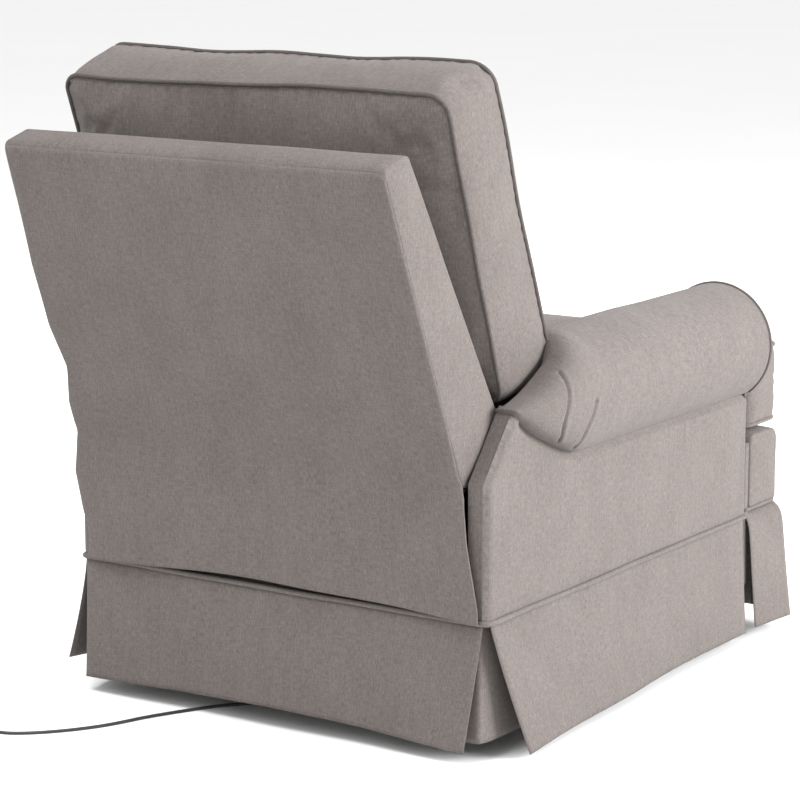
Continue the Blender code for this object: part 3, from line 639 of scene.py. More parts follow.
def tube(name, path, radius, ring=False, material=None):
    """Piping: a fabric-covered cord along a path, a little uneven in thickness."""
    sides, unevenness = 10, 0.04
    path = np.array(path, float)
    n = len(path)
    if ring:
        tangent = np.roll(path, -1, 0) - np.roll(path, 1, 0)
    else:
        tangent = np.gradient(path, axis=0)
    tangent = unit(tangent)
    side = np.cross(tangent[0], (0.0, 0.0, 1.0))
    if np.linalg.norm(side) < 0.1:
        side = np.cross(tangent[0], (1.0, 0.0, 0.0))
    sides_made = []
    for direction in tangent:
        side = unit(side - direction * (side @ direction))
        sides_made.append(side)
    side = np.array(sides_made)
    if ring:
        last = unit(side[-1] - tangent[0] * (side[-1] @ tangent[0]))
        turn = np.arctan2(last @ np.cross(tangent[0], side[0]), last @ side[0])
        angle = -turn * np.arange(n) / n
        lift = np.cross(tangent, side)
        side = side * np.cos(angle)[:, None] + lift * np.sin(angle)[:, None]
        path, side, tangent = (closed(a) for a in (path, side, tangent))
    lift = np.cross(tangent, side)
    wobble = 1 + unevenness * wander_all(path, 70.0, 5)
    rows = []
    for k in range(sides + 1):
        a = 2 * pi * k / sides
        rows.append(path + (side * cos(a) + lift * sin(a)) * (radius * wobble)[:, None])
    shell = Shell()
    shell.grid(np.array(rows), swap=True)
    if not ring:
        for end in (0, -1):
            rim = [row[end] for row in rows[:-1]]
            centre = path[end] + tangent[end] * radius * (0.5 if end else -0.5)
            shell.add([*rim, centre], [(0.0, 0.0)] * (sides + 1),
                      [(i, (i + 1) % sides, sides) for i in range(sides)])
    return shell.build(name, material)


def settle(piece, body, *nodes, fill=None):
    """Attaches a finished piece to the body it moves with and hides the nodes it stands for; fill, how
    full it is, is not used.
    """
    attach(piece, body)
    if nodes:
        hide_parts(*nodes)
    return piece


def wavy(path, amount, scale, seed, ring=True):
    """A sewn line that wanders a little, as real piping does."""
    path = np.array(path, float)
    fade = np.ones(len(path)) if ring else np.sin(np.linspace(0, pi, len(path))) ** 0.3
    return path + drift(path, amount, scale, seed) * fade[:, None]


def wavy_seams(piece, seams, amount, scale, seed):
    """Lets a cushion's sewn edges wander, the cloth beside them with them; returns the moved seams."""
    co = places(piece)
    near = np.minimum(*(line_distance(co, closed(seam)) for seam in seams))
    weight = bell(near, 0.035)
    set_places(piece, co + drift(co, amount, scale, seed) * weight[:, None])
    return [seam + drift(seam, amount, scale, seed) for seam in seams]


def proud(seam, other, out=0.0010):
    """Moves a seam line off the corner it is sewn in: away from the other seam and outward."""
    away = unit(seam.mean(0) - other.mean(0))
    return seam + (away + sideways(seam, away)) * out


class Plane:
    """A flat place in space, with its own (a, b) coordinates."""

    def __init__(self, origin, a, b):
        self.origin = np.array(origin, float)
        self.a = np.array(a, float) / np.linalg.norm(a)
        self.b = np.array(b, float) / np.linalg.norm(b)

    def put(self, points):
        """Points of the plane's own coordinates, in space."""
        points = np.asarray(points, float)
        return self.origin + points[:, :1] * self.a + points[:, 1:2] * self.b


def across_x(x):
    """The plane at one x, whose coordinates are y and z."""
    return Plane((x, 0, 0), (0, 1, 0), (0, 0, 1))


def boxed(name, front, rear, front_plane, rear_plane, crowns, bulge, spacing, rows, reach,
          swap_band=True):
    """A boxed cushion: two crowned faces on matching outlines and a band between them.

    Returns the piece and its two seam lines."""
    shell = Shell()
    seams = []
    for loop, plane, crown, other in ((front, front_plane, crowns[0], rear_plane),
                                      (rear, rear_plane, crowns[1], front_plane)):
        points, faces = fill_loop(loop, spacing)
        distance = line_distance(points, closed(loop))
        out = np.cross(plane.a, plane.b)
        if out @ (plane.origin - other.origin) < 0:
            out = -out
        t = np.clip(distance / reach, 0, 1)
        swell = crown * (1 - (1 - t) ** 2.6)
        shell.add(plane.put(points) + out * swell[:, None], points, faces)
        seams.append(plane.put(loop))
    first, last = (closed(seam) for seam in seams)
    levels = np.concatenate([[0.0, 0.03], np.linspace(0.08, 0.92, rows - 2), [0.97, 1.0]])
    axis = unit(seams[1].mean(0) - seams[0].mean(0))
    out = closed(sideways(seams[0], axis))
    grid = []
    for level in levels:
        push = bulge * (1 - (2 * level - 1) ** 4)
        grid.append(first + (last - first) * level + out * push)
    shell.grid(np.array(grid), swap=swap_band)
    piece = shell.build(name)
    return piece, seams


def seam_points(piece, seams):
    """Which of a piece's points lie on its sewn outlines."""
    co = places(piece)
    held = np.zeros(len(co), bool)
    for seam in seams:
        held |= line_distance(co, closed(seam)) < 2e-4
    return held


# ---- outside back and its hanging panel ----
def back_widening(z):
    """By what factor the outside back's left half is widened at a height, where its cover sags."""
    return 1 + np.interp(z, (0.40, 0.53, 0.60, 0.70, 0.80, 0.894),
                         (0.012, 0.060, 0.085, 0.070, 0.035, 0.008))


def make_outside_back():
    """The padded wedge behind the cushion, which the rear panel is stretched over."""
    outline, _ = rounded_loop([(0.221, 0.400, 0.008), (0.3795, 0.4155, 0.006), (0.5815, 0.891, 0.009),
                               (0.522, 0.908, 0.012)], 0.008)
    slab, seams = boxed("outside_back", outline, outline, across_x(-SLAB_HALF_WIDTH),
                        across_x(SLAB_HALF_WIDTH), (0.004, 0.004), 0.0025, spacing=0.011, rows=64,
                        reach=0.05)
    inflate(slab, seam_points(slab, seams), 1.0, 0.002, spare=0.0)
    co = places(slab)
    co[:, 0] = np.where(co[:, 0] > 0, co[:, 0] * back_widening(co[:, 2]), co[:, 0])
    set_places(slab, co)
    rumple(slab, 0.0010, 7.0, 3)
    settle(slab, "back", "back_frame", fill=0.85)


def rear_panel_point(s, t):
    """A point of the rear panel: s from -1 to 1 across, t from 0 at its hem to 1 at its top.

    Above the hinge it lies on the slab, crowned and tucked in at its edges. Below, it hangs free
    and curls in a little at the left."""
    hem = SEAM_Z + 0.0125 * (1 - s * s) ** 1.2 + 0.0012 * sin(7 * s)
    (low_y, low_z), (high_y, high_z) = SLAB_REAR
    hinge_z = low_z + 0.002
    lean = (high_y - low_y) / (high_z - low_z)
    top_z = 0.8865
    joins_slab = 0.53                 # where the left edge has drawn in to the slab's own
    z = hem + (top_z - hem) * t
    above = max(0.0, z - hinge_z) + 0.010 * np.exp(-abs(z - hinge_z) / 0.030)
    low = ease((hinge_z + 0.012 - z) / 0.05)
    if s <= 0:
        half = np.interp(z, (0.24, 0.285, 0.34, 0.40, 0.43), (0.3665, 0.3590, 0.3490, 0.3430, 0.3340))
    elif z > joins_slab:
        half = SLAB_HALF_WIDTH * back_widening(z)
    else:
        half = np.interp(z, (0.21, 0.26, 0.30, 0.355, 0.42, 0.47, joins_slab),
                         (0.361, 0.358, 0.370, 0.3820, 0.374, 0.3720,
                          SLAB_HALF_WIDTH * back_widening(joins_slab)))
    x = s * half
    y = low_y + lean * above + 0.0032
    below = max(0.0, hinge_z - z)
    swell = 0.0045 * sin(pi * min(1.0, below / 0.19)) * (0.6 + 0.4 * cos(2.2 * s + 0.6))
    fold = 0.0022 * noise.noise(Vector((x * 5.0, z * 1.6, 2.0))) * low
    crease = 0.0024 * bell(z - hinge_z - 0.004, 0.012) * abs(s) ** 6
    crown = 0.0050 * (1 - abs(s) ** 3) * sin(pi * min(1.0, above / 0.474)) ** 0.7 if above > 0 else 0.0
    edge = (1 - abs(s)) * half
    tuck = 0.0042 * np.exp(-edge / 0.0045) * (1 - low)
    tuck += 0.0042 * np.exp(-max(0.0, top_z - z) / 0.0040)
    curl = 0.010 * np.exp(-edge / 0.014) * low * (0.5 + 0.5 * s)
    return (x, y + swell + fold + crown - crease - tuck - curl + 0.003 * low, z)


def two_sided(middle, thickness, name):
    """A lined sheet of cloth with a turned hem, from the grid of points midway through it."""
    normal = unit(np.cross(np.gradient(middle, axis=1), np.gradient(middle, axis=0)))
    share = np.ones(middle.shape[:2])
    share[0, :] = share[-1, :] = share[:, 0] = share[:, -1] = 0.45      # the hems are thinner
    half = (thickness / 2) * share[:, :, None]
    outer, inner = middle + normal * half, middle - normal * half
    shell = Shell()
    shell.grid(outer)
    shell.grid(inner)
    for a, b in ((outer[0], inner[0]), (outer[-1], inner[-1]), (outer[:, 0], inner[:, 0]),
                 (outer[:, -1], inner[:, -1])):
        shell.grid(np.array([a, b]))
    return shell.build(name, weld=0.00005)


def make_rear_panel():
    """One piece of cloth: stretched over the outside back, then hanging free below it as the flap."""
    across = np.concatenate([[-1, -0.9965, -0.991, -0.982], np.linspace(-0.965, 0.965, 56),
                             [0.982, 0.991, 0.9965, 1]])
    down = np.concatenate([[0, 0.004, 0.012], np.linspace(0.022, 0.975, 84), [0.985, 0.991, 0.9955, 1]])
    middle = np.array([[rear_panel_point(s, t) for s in across] for t in down])
    middle[:, :, 1] += 0.0009 * np.array([wander_all(row, 14.0, 8) for row in middle])
    panel = two_sided(middle, CLOTH, "rear_panel")
    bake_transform(panel)
    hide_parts("rear_flap")


# ---- back cushion ----
CUSHION_REAR = (0.2665, 0.5180)                  # (y, z) of the lower end of its rear face
CUSHION_REAR_SLOPE = (0.1617, 0.4577)            # (y, z) run of that face
CUSHION_FRONT = (0.1235, 0.5300)
CUSHION_FRONT_SLOPE = (0.164, 0.423)


def cushion_y(z, start, slope):
    """The y of one of the cushion's leaning faces at a height."""
    return start[0] + (z - start[1]) * slope[0] / slope[1]


def over_the_arms(points):
    """Where the cushion passes over the arms, its front seam runs down and back to meet the rear one."""
    co = np.array(points, float)
    y, z = co[:, 1], co[:, 2]
    rear = cushion_y(z, CUSHION_REAR, CUSHION_REAR_SLOPE)
    front = cushion_y(z, CUSHION_FRONT, CUSHION_FRONT_SLOPE)
    tucked = np.interp(z, (0.515, 0.524, 0.547, 0.590), (0.246, 0.213, 0.170, 0.1468))
    tucked = np.where(z < 0.590, np.maximum(tucked, front), front)
    share = (rear - y) / (rear - front)
    weight = ease((np.abs(co[:, 0]) - 0.2300) / 0.020)
    co[:, 1] = y + (rear - share * (rear - tucked) - y) * weight
    return co


def make_back_cushion():
    """The leaning boxed cushion: it narrows below to sit between the arms."""
    rear_plane = Plane((0, *CUSHION_REAR), (1, 0, 0), (0, *CUSHION_REAR_SLOPE))
    front_plane = Plane((0, *CUSHION_FRONT), (1, 0, 0), (0, *CUSHION_FRONT_SLOPE))
    low, wide, wide_left = 0.2240, 0.3340, 0.3480
    rear_top, front_top = 0.489, 0.521
    keys_rear = [(-low, -0.006, 0.020), (low, -0.006, 0.020), (low + 0.006, 0.000, 0.003),
                 (wide, 0.001, 0.026), (wide_left, rear_top, 0.026), (-wide, rear_top, 0.030),
                 (-wide, 0.001, 0.026), (-low - 0.006, 0.000, 0.003)]
    keys_front = [(-low, -0.022, 0.020), (low, -0.022, 0.020), (low + 0.006, -0.004, 0.003),
                  (wide, -0.002, 0.030), (wide_left, front_top, 0.028), (-wide, front_top, 0.034),
                  (-wide, -0.002, 0.030), (-low - 0.006, -0.004, 0.003)]
    front, counts = rounded_loop(keys_front, 0.0085)
    rear, _ = rounded_loop(keys_rear, 0.0085, counts)
    cushion, seams = boxed("back_cushion_cover", front, rear, front_plane, rear_plane, (0.022, 0.034),
                           0.0060, spacing=0.010, rows=13, reach=0.17)
    held = seam_points(cushion, seams)
    set_places(cushion, over_the_arms(places(cushion)))
    seams = [over_the_arms(seam) for seam in seams]
    inflate(cushion, held, 3.2, 0.012, spare=0.008)
    seams = wavy_seams(cushion, seams, 0.0055, 7.0, 21)
    rumple(cushion, 0.0030, 6.0, 11, keep=lambda co: np.clip(
        np.minimum(line_distance(co, seams[0]), line_distance(co, seams[1])) / 0.05, 0, 1))
    inset = 0.009
    for x in (wide_left - inset, inset - wide):
        corners = [plane.put([(x, top - inset)])[0]
                   for plane, top in ((front_plane, front_top), (rear_plane, rear_top))]
        groove(cushion, corners, 0.0046, 0.0052)
    zip_z = 0.845                     # a seam across the rear face, pressed in near its two ends
    co = places(cushion)
    rear_y = cushion_y(co[:, 2], CUSHION_REAR, CUSHION_REAR_SLOPE) - 0.0025
    on_rear = (co[:, 1] > rear_y) & (np.abs(co[:, 0]) > 0.21)
    push_out(cushion, -0.0034 * bell(co[:, 2] - zip_z, 0.0050) * on_rear)
    settle(cushion, "back", "back_cushion", fill=0.75)
    # The back cushion's welts take the darker piping linen, which is painted shade.
    for word, seam, other in (("front", *seams), ("rear", *seams[::-1])):
        settle(tube(f"back_cushion_welt_{word}", proud(seam, other), WELT, ring=True, material=PIPING_PAINTED_SHADE),
               "back")


# ---- seat cushion ----
def make_seat_cushion():
    """T-shaped boxed cushion: its front wings pass in front of the arms."""
    stem, wing = 0.2270, 0.3735
    front_y, wing_rear, rear_y = -0.5590, -0.4455, 0.0900
    keys = [(-stem, rear_y, 0.030), (-stem, wing_rear, 0.006), (-wing, wing_rear, 0.014),
            (-wing, front_y, 0.030), (wing, front_y, 0.030), (wing, wing_rear, 0.014),
            (stem, wing_rear, 0.006), (stem, rear_y, 0.030)]
    outline, _ = rounded_loop(keys, 0.0095)
    top, bottom = (Plane((0, 0, z), (1, 0, 0), (0, 1, 0)) for z in (0.4930, 0.3672))
    cushion, seams = boxed("seat_cushion_cover", outline, outline, top, bottom, (0.022, 0.0005),
                           0.0035, spacing=0.0105, rows=13, reach=0.15, swap_band=False)
    held = seam_points(cushion, seams)
    flat = places(cushion)[:, 2] < 0.3700
    inflate(cushion, held | flat, 3.0, 0.010, spare=0.006)
    stem_limit, wing_limit = 0.2318, 0.3790          # room between the arms, and in front of them
    wing_stop, deck_z = -0.4425, 0.3660              # the arms' front faces and the deck below
    co = places(cushion)
    beside_arm = co[:, 1] > wing_rear + 0.004
    co[:, 0] = np.where(beside_arm, np.clip(co[:, 0], -stem_limit, stem_limit), co[:, 0])
    co[:, 0] = np.clip(co[:, 0], -wing_limit, wing_limit)
    co[:, 1] = np.where(np.abs(co[:, 0]) > stem_limit, np.minimum(co[:, 1], wing_stop), co[:, 1])
    co[:, 2] = np.maximum(co[:, 2], deck_z)
    set_places(cushion, co)
    rumple(cushion, 0.0030, 6.5, 31, keep=lambda p: np.clip((p[:, 2] - 0.495) / 0.012, 0, 1))
    settle(cushion, "chassis", "seat_cushion", fill=0.8)
    for word, seam, other in (("top", *seams), ("bottom", *seams[::-1])):
        line = wavy(proud(seam, other), 0.0006, 10.0, 33)
        line[:, 2] = np.maximum(line[:, 2], deck_z + 0.0002 + WELT)
        settle(tube(f"seat_cushion_welt_{word}", line, WELT, ring=True), "chassis")


# ---- footrest ----
def make_footrest_pad():
    """The padded front of the chair, which swings up as the leg rest."""
    half, board_y, front_y, low_z, high_z = 0.3710, -0.4650, -0.5620, 0.2265, 0.3510
    outline, _ = rounded_loop([(board_y, low_z, 0.006), (board_y, high_z, 0.010),
                               (front_y, high_z, 0.024), (front_y, low_z, 0.006)], 0.0065)
    pad, seams = boxed("footrest_pad_cover", outline, outline, across_x(-half), across_x(half),
                       (0.0030, 0.0030), 0.0035, spacing=0.009, rows=70, reach=0.03)
    held = seam_points(pad, seams) | (places(pad)[:, 1] > board_y - 0.003)
    inflate(pad, held, 1.6, 0.004, spare=0.004)
    rumple(pad, 0.0022, 9.0, 41, keep=lambda p: np.clip((board_y - 0.005 - p[:, 1]) / 0.03, 0, 1))
    widest = half + 0.0040
    co = places(pad)
    co[:, 0] = np.clip(co[:, 0], -widest, widest)
    set_places(pad, co)
    settle(pad, "footrest", "footrest_pad", fill=0.8)


def make_covered_boards():
    """The board behind the footrest pad and the rail below the back, both wrapped in the cover cloth."""
    boards = (("footrest_board", "footrest", 0.3705), ("frame_rail_rear", "chassis", 0.3385))
    inset = 0.0012                    # room for the cloth inside the board's own size
    for node, body, half in boards:
        low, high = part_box(node)
        keys = [(low.y + inset, low.z + inset, 0.003), (high.y - inset, low.z + inset, 0.003),
                (high.y - inset, high.z - inset, 0.003), (low.y + inset, high.z - inset, 0.003)]
        outline, _ = rounded_loop(keys, 0.010)
        board, _ = boxed(f"{node}_cover", outline, outline, across_x(-half), across_x(half),
                         (0.0005, 0.0005), 0.0006, spacing=0.008, rows=50, reach=0.006)
        settle(board, body, node)


def ripple(base, scale, level):
    """Smooth noise from -1 to 1 at each (x, y) of a row of points."""
    return np.array([noise.noise(Vector((x * scale, y * scale, level))) for x, y in base])


def hang(panel, flat, *nodes, rests_on=None):
    """Hides the nodes a hung panel stands for; its flat size (flat) and rests_on are not used."""
    if nodes:
        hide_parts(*nodes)


def skirt_panel(name, top_line, hem_line, outward, flare, seed, height_points, width_points,
                top_z=SEAM_Z - 0.003, hem_z=HEM_Z, waves=0.0050, shoulder=0.0, anchor=None):
    """A lined skirt panel that hangs from a welt and flares a little toward its hem.

    flare and hem_z are one number, or key values along the panel's width. shoulder draws the top
    edge in under the piping, and anchor is the point it draws the panel's ends toward."""
    top, hem = resample(top_line, width_points), resample(hem_line, width_points)
    outward = resample(outward, width_points)
    share = np.linspace(0, 1, width_points)
    flare, hem_z = (np.interp(share, np.linspace(0, 1, np.size(value)), np.atleast_1d(value))
                    for value in (flare, hem_z))
    rows = []
    for t in np.linspace(0, 1, height_points):
        base = top + (hem - top) * t
        z = top_z + (hem_z - top_z) * t
        tucked = shoulder * np.exp(-t / 0.055)
        lean = flare * t ** 1.25 - tucked
        wave = ripple(base, 6.0, seed + 0.25 * t)
        if anchor is not None:
            reach = np.abs(base - anchor).sum(1).max()
            base = base + (np.array(anchor) - base) * (tucked / reach)
        xy = base + outward * (lean + waves * t * wave)[:, None]
        lift = 0.0025 * ripple(base, 3.0, seed + 5.0)
        rows.append(np.column_stack([xy, z + lift * t]))
    return two_sided(np.array(rows)[::-1], CLOTH, name)


def make_front_skirt():
    """The skirt on the footrest: front, side returns and the pleat pieces behind their corners."""
    x_side, y_front, y_rear = 0.3790, -0.5790, -0.4500
    top_z, bend_start, bend_end = 0.2195, (0, -0.575, 0.118), (0, -0.575, 0.070)
    panels = [("front_skirt_panel", [(-x_side + 0.003, y_front), (x_side - 0.003, y_front)],
               [(-x_side + 0.008, y_front - 0.001), (x_side - 0.008, y_front - 0.001)],
               [(0, -1), (0, -1)], (0.0190, 0.0150, 0.0190), 61, 70, (0.76, 0.20), 0.0)]
    for word, side in SIDES:
        x, inset = side * x_side, side * 0.0045
        panels.append((f"front_skirt_return_{word}", [(x, y_rear), (x, y_front + 0.004)],
                       [(x, y_rear - 0.012), (x, y_front + 0.008)], [(side, 0), (side, 0)],
                       (0.0100, 0.0230), 63 + side, 20, (0.13, 0.20), 0.0))
        corner = smooth_line([(x - inset, y_front + 0.050), (x - inset, y_front + 0.012),
                              (x - 2.6 * inset, y_front + 0.0052),
                              (x - side * 0.055, y_front + 0.0048)], 22)
        out = smooth_line([(side, 0), (side, 0), (side * 0.7, -0.7), (0, -1)], 22)
        panels.append((f"front_skirt_pleat_{word}", corner, corner, out, 0.0030, 66 + side, 22,
                       (0.10, 0.19), 0.008))
    for name, top, hem, out, flare, seed, count, flat, lift in panels:
        main, pleat = name == "front_skirt_panel", "pleat" in name
        drop, shoulder = (-0.003, 0.019) if pleat else (0.002, 0.015)
        anchor = None if pleat else (0.0, y_front) if main else top[0]
        panel = skirt_panel(name, top, hem, out, flare, seed, 34, count, top_z + drop, HEM_Z + lift,
                            waves=0.0025, shoulder=shoulder, anchor=anchor)
        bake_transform(panel)
        hang(panel, flat, *(("front_skirt", "front_skirt_hem") if main else ()),
             rests_on="footrest_pad_cover")
    x_welt, y_welt, z_welt = x_side - 0.0085, y_front + 0.0150, 0.2245
    half = [(x_welt, y_rear), (x_welt, y_welt + 0.012), (x_welt - 0.0035, y_welt + 0.0035),
            (x_welt - 0.012, y_welt)]
    path = [(-x, y, z_welt) for x, y in half] + [(x, y, z_welt) for x, y in half[::-1]]
    line = wavy(resample(path, 150), 0.0010, 9.0, 71, ring=False)
    settle(tube("front_skirt_welt", line, WELT), "footrest")


def make_body_skirt():
    """The skirt round the fixed body: rear and side panels with pleat pieces behind the rear corners."""
    rear_y, side_x = 0.3745, 0.3748
    rear = skirt_panel("rear_skirt_panel", [(0.3675, rear_y), (-0.3675, rear_y)],
                       [(0.3620, rear_y), (-0.3440, rear_y)], [(0, 1), (0, 1)],
                       (0.014, 0.010, 0.012, 0.008, 0.012), 81, 26, 74,
                       hem_z=(0.0245, 0.031, 0.034, 0.028, 0.0215))
    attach(rear, "chassis")
    hang(rear, (0.74, 0.20), "rear_skirt")
    hem_rears = {"left": 0.3500, "right": 0.3020}
    flares = {"left": (0.054, 0.030, 0.014, 0.010, 0.012), "right": (0.030, 0.022, 0.016, 0.012, 0.014)}
    hems = {"left": (0.036, 0.026, 0.021, 0.020, 0.020), "right": (0.009, 0.013, 0.017, 0.019, 0.019)}
    pleat_flares = {"left": (0.002, 0.008, 0.020, 0.004), "right": -0.001}
    for word, side in SIDES:
        x = side * side_x
        panel = skirt_panel(f"side_skirt_panel_{word}", [(x, 0.3660), (x, -0.4350)],
                            [(x, hem_rears[word]), (x, -0.4330)], [(side, 0), (side, 0)],
                            flares[word], 84 + side, 26, 76, hem_z=hems[word])
        pleat_line = smooth_line([(side * 0.3620, 0.240), (side * 0.3600, 0.325), (side * 0.3560, 0.3520),
                                  (side * 0.3470, 0.3625), (side * 0.2900, 0.3640)], 60)
        out = smooth_line([(side, 0), (side, 0), (side * 0.8, 0.6), (0, 1), (0, 1)], 60)
        pleat = skirt_panel(f"skirt_pleat_{word}", pleat_line, pleat_line, out, pleat_flares[word],
                            88 + side, 22, 60, hem_z=HEM_Z + 0.010, waves=0.0020)
        for piece, node, flat in ((panel, f"side_skirt_{word}", (0.80, 0.20)),
                                  (pleat, f"skirt_insert_{word}", (0.20, 0.19))):
            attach(piece, "chassis")
            hang(piece, flat, node)
    corner = 0.012
    half = [(HALF_WIDTH + 0.0012, ARM_FRONT), (HALF_WIDTH + 0.0012, ARM_REAR - corner),
            (HALF_WIDTH - 0.0028, ARM_REAR - 0.0030), (HALF_WIDTH - corner, ARM_REAR + 0.0008),
            (0.25, ARM_REAR + 0.0008)]
    path = [(x, y, SEAM_Z) for x, y in half] + [(-x, y, SEAM_Z) for x, y in half[::-1]]
    line = wavy(resample(path, 320), 0.0012, 9.0, 91, ring=False)
    settle(tube("skirt_welt", line, 0.0042), "chassis")


# ---- arms ----
STRIP_LOW, STRIP_HIGH = (0.3745, 0.4210), (0.2910, 0.5230)     # (y, z) ends of the slanting strip
CONTROL_CENTRE = (-0.3125, 0.360)                              # (y, z) of the buttons on the left arm


def make_arm_panel(word, side):
    """Outer side of the arm: a soft rear corner, a slanting strip above it and a crease under the roll."""
    radius, corner_y = 0.010, ARM_REAR - 0.0015
    keys = [(ARM_FRONT + 0.001, SEAM_Z, 0.0), (corner_y, SEAM_Z, 0.0), (corner_y, STRIP_LOW[1], 0.0),
            (STRIP_HIGH[0], STRIP_HIGH[1], 0.003), (0.262, 0.505, 0.010), (0.215, 0.475, 0.010),
            (0.150, 0.452, 0.010), (0.060, 0.450, 0.0), (ARM_FRONT + 0.001, 0.450, 0.0)]
    outline, _ = rounded_loop(keys, 0.008)
    outer, inner = across_x(side * HALF_WIDTH), across_x(side * 0.3415)
    panel, _ = boxed(f"arm_panel_cover_{word}", outline, outline, outer, inner, (0.0, 0.0), 0.0,
                     spacing=0.0065, rows=12, reach=0.05)
    co = places(panel)
    depth = np.abs(co[:, 0])
    rear_edge = [(0, corner_y, SEAM_Z - 0.05), (0, corner_y, STRIP_LOW[1]), (0, *STRIP_HIGH)]
    flat_places = np.column_stack([np.zeros(len(co)), co[:, 1], co[:, 2]])
    near = np.clip(radius - line_distance(flat_places, rear_edge), 0, radius)
    drop = radius - np.sqrt(radius ** 2 - near ** 2)
    outer_face = depth > HALF_WIDTH - 0.0005
    depth = np.minimum(depth, HALF_WIDTH - drop)
    swell = 0.0034 * np.sin(np.clip((co[:, 2] - SEAM_Z) / 0.22, 0, 1) * pi) ** 0.8
    swell *= ease((ARM_REAR - 0.02 - co[:, 1]) / 0.10) * ease((co[:, 1] - ARM_FRONT) / 0.06)
    control = np.linalg.norm((co[:, 1:] - CONTROL_CENTRE) / (1.0, 0.6), axis=1)
    beside = ease((control - 0.045) / 0.05) if side > 0 else np.ones(len(co))     # 0 at the buttons
    co[:, 0] = side * (depth + (swell * beside - 0.0003 * (1 - beside)) * outer_face)
    set_places(panel, co)
    soft = outer_face * beside * ease(line_distance(flat_places, rear_edge) / 0.05)
    rumple(panel, 0.0011, 7.0, 101 + side, keep=lambda p: soft)
    x_seam = side * (HALF_WIDTH - 0.0055)
    groove(panel, [(x_seam, *STRIP_LOW), (x_seam, *STRIP_HIGH)], 0.0014, 0.0026)
    under_roll = [(side * (HALF_WIDTH + 0.001), y, roll_section(y, 0.0)[1] - 0.0015)
                  for y in np.linspace(ARM_FRONT, 0.285, 60)]
    groove(panel, under_roll, 0.0070, 0.0050)
    settle(panel, "chassis", f"arm_panel_{word}", fill=0.9)


ROLL_STATIONS = (0.090, 0.130, 0.160, 0.190, 0.217, 0.240, 0.260, 0.280, 0.295, 0.304)
ROLL_REAR = (                         # at those y: low, high, crest and reach of the roll's section
    (0.4270, 0.4300, 0.4380, 0.4490, 0.4610, 0.4710, 0.4810, 0.4940, 0.5070, 0.5190),
    (0.6060, 0.5780, 0.5490, 0.5340, 0.5235, 0.5190, 0.5170, 0.5165, 0.5175, 0.5195),
    (0.6065, 0.5980, 0.5850, 0.5700, 0.5560, 0.5450, 0.5360, 0.5290, 0.5240, 0.5210),
    (0.4172, 0.4172, 0.4170, 0.4155, 0.4130, 0.4090, 0.4035, 0.3950, 0.3850, 0.3780))


def roll_section(y, s):
    """A point of the roll's section at y: s runs from the outer lower edge over the top to the inner side.

    In front it is an arc. Behind, the roll flattens: low and crest are its lower and upper outside
    heights, high its height on the inner side, reach its outer x and inward its inner x."""
    low, high, crest, reach = (np.interp(y, ROLL_STATIONS, heights) for heights in ROLL_REAR)
    inward = np.interp(y, (0.15, 0.205, 0.30), (0.2345, 0.3415, 0.3420))
    breaks = (0.0, 0.25, 0.55, 0.85, 1.0)
    angle = radians(np.interp(s, breaks, (-54.5, 0.0, 90.0, 180.0, 211.0)))
    front = np.array((ROLL_X + ROLL_RADIUS * cos(angle), ROLL_Z + ROLL_RADIUS * sin(angle)))
    middle = (low + crest) / 2
    panel_x, shoulder = 0.3720, min(0.370, reach - 0.006)
    if s < 0.25:
        a = radians(-90 + 90 * s / 0.25)
        rear = (panel_x + (reach - panel_x) * cos(a) ** 0.75, middle + (middle - low) * sin(a))
    elif s < 0.55:
        a = radians(90 * (s - 0.25) / 0.30)
        rear = (shoulder + (reach - shoulder) * cos(a) ** 0.85, middle + (crest - middle) * sin(a))
    elif s < 0.85:
        x = shoulder + (inward - shoulder) * (s - 0.55) / 0.30
        rear = (x, high + (crest - high) * ease((x - 0.338) / 0.018))
    else:
        rear = (inward, high - (high - low) * 0.8 * (s - 0.85) / 0.15)
    weight = ease((y - 0.085) / 0.105)
    return front + (np.array(rear) - front) * weight


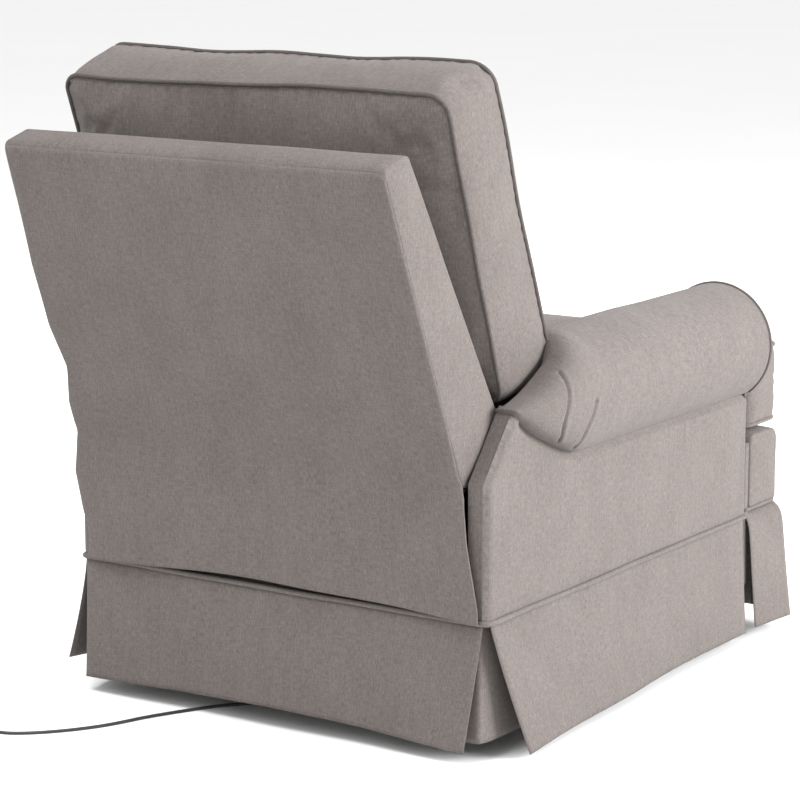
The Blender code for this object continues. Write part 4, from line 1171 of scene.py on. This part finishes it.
def make_arm_roll(word, side):
    """The rolled top of the arm: round in front, gathered into two pleats behind."""
    ys = np.concatenate([np.linspace(ARM_FRONT, 0.06, 46, endpoint=False), np.linspace(0.06, 0.304, 110)])
    s_values = np.concatenate([np.linspace(0, 0.55, 72, endpoint=False), np.linspace(0.55, 1.0, 26)])
    rows = []
    for y in ys:
        sweep = [roll_section(y, s) for s in s_values]
        first, last = np.array(sweep[0]), np.array(sweep[-1])
        back_line = [last + (first - last) * t for t in np.linspace(0, 1, 8)[1:]]
        rows.append([(side * x, y, z) for x, z in [*sweep, *back_line]])
    shell = Shell()
    grid = np.array(rows)
    shell.grid(grid, swap=True)
    for row in (grid[0], grid[-1]):
        loop = row[:-1][:, [0, 2]]
        centre = loop.mean(0)
        shell.add([*row[:-1], (centre[0], row[0][1], centre[1])], [*loop, centre],
                  [(i, (i + 1) % len(loop), len(loop)) for i in range(len(loop))])
    roll = shell.build(f"arm_roll_cover_{word}", weld=0.0002)
    rumple(roll, 0.0020, 8.0, 121 + side, keep=lambda p: (p[:, 2] > 0.45) * np.clip(
        (p[:, 1] - ARM_FRONT) / 0.03, 0, 1))

    def on_roll(y, z):
        """The roll's outer surface at a height."""
        best = min((abs(roll_section(y, s)[1] - z), s) for s in np.linspace(0, 0.55, 90))
        x, height = roll_section(y, best[1])
        return (side * x, y, height)

    pleats = (((0.1990, 0.5620), (0.2030, 0.5450), (0.2088, 0.5244), (0.2190, 0.4900), (0.2050, 0.4600)),
              ((0.1363, 0.5134), (0.1443, 0.4919), (0.1561, 0.4675), (0.1600, 0.4420)))
    for keys in pleats:
        line = smooth_line([on_roll(*key) for key in keys], 40)
        groove(roll, line, 0.0042, 0.0026)
        groove(roll, line + (0.0, -0.0045, 0.0), -0.0016, 0.0050)      # the fold's raised lip
    settle(roll, "chassis", f"arm_roll_{word}", fill=0.85)

    y = ARM_FRONT - 0.0005
    arc = [(side * (ROLL_X + ROLL_RADIUS * cos(a)), y, ROLL_Z + ROLL_RADIUS * sin(a))
           for a in np.radians(np.linspace(-52, 211, 70))]
    low = [(side * ARM_INNER_X, y, z) for z in np.linspace(0.450, 0.222, 24)]
    # The arm's front welt takes the darker piping linen, which is painted shade.
    settle(tube(f"arm_front_welt_{word}", [*arc, *low], 0.0027, material=PIPING_PAINTED_SHADE), "chassis")


def make_arm_front(word, side):
    """The flat front of the arm: a disc over a narrow upright panel."""
    inset, low_z = 0.0015, 0.2195
    radius = ROLL_RADIUS - inset
    disc = [(side * (ROLL_X + radius * cos(a)), ROLL_Z + radius * sin(a))
            for a in np.radians(np.arange(-50, 212, 4.0))]
    inner = [(side * (ARM_INNER_X + inset), z) for z in np.linspace(0.445, low_z, 26)]
    across = [(side * x, low_z) for x in np.linspace(ARM_INNER_X + 0.010, HALF_WIDTH - 0.0095, 14)]
    outer = [(side * (HALF_WIDTH - inset), z) for z in np.linspace(low_z, 0.4260, 24)]
    outline = np.array([*disc, *inner, *across, *outer])
    front, rear = (Plane((0, ARM_FRONT + out, 0), (1, 0, 0), (0, 0, 1)) for out in (-0.0006, 0.0040))
    facing, _ = boxed(f"arm_front_cover_{word}", outline, outline, front, rear, (0.0026, 0.0), 0.0,
                      spacing=0.010, rows=4, reach=0.035)
    settle(facing, "chassis", fill=0.9)


def make_arm_inner(word, side):
    """The inner side of the arm, beside the seat."""
    front_y, rear_y, low_z, high_z = ARM_FRONT + 0.003, 0.158, 0.121, 0.462
    outline, _ = rounded_loop([(front_y, low_z, 0.008), (rear_y, low_z, 0.008),
                               (rear_y, high_z, 0.020), (front_y, high_z, 0.003)], 0.010)
    box, _ = boxed(f"arm_inner_cover_{word}", outline, outline, across_x(side * (ARM_INNER_X + 0.0006)),
                   across_x(side * 0.3390), (0.0004, 0.0), 0.0005, spacing=0.014, rows=10, reach=0.03)
    settle(box, "chassis", f"arm_inner_{word}", fill=0.9)


# ---- everything ----
make_cord()
make_outside_back()
make_rear_panel()
make_back_cushion()
make_seat_cushion()
make_footrest_pad()
make_covered_boards()
make_front_skirt()
make_body_skirt()
for word, side in SIDES:
    make_arm_panel(word, side)
    make_arm_roll(word, side)
    make_arm_front(word, side)
    make_arm_inner(word, side)

FINISHES = (
    (STEEL, ("mechanism_plate", "glide_bracket", "glide_link", "back_bracket", "footrest_bracket",
             "footrest_link", "footrest_torque_tube", "motor_rail", "base_runner", "base_cross")),
    (WOOD, ("frame_rail_front", "seat_deck")),
    (PLASTIC, ("motor_housing", "drive_carriage", "control_panel", "button_", "power_supply",
               "power_plug")),
    (RUBBER, ("floor_glide",)),
    (JACKET, ("cord_strain_relief",)))
for material, starts in FINISHES:
    for node_name, node in NODES.items():
        if node_name.startswith(starts):
            node.data.materials.clear()
            node.data.materials.append(material)
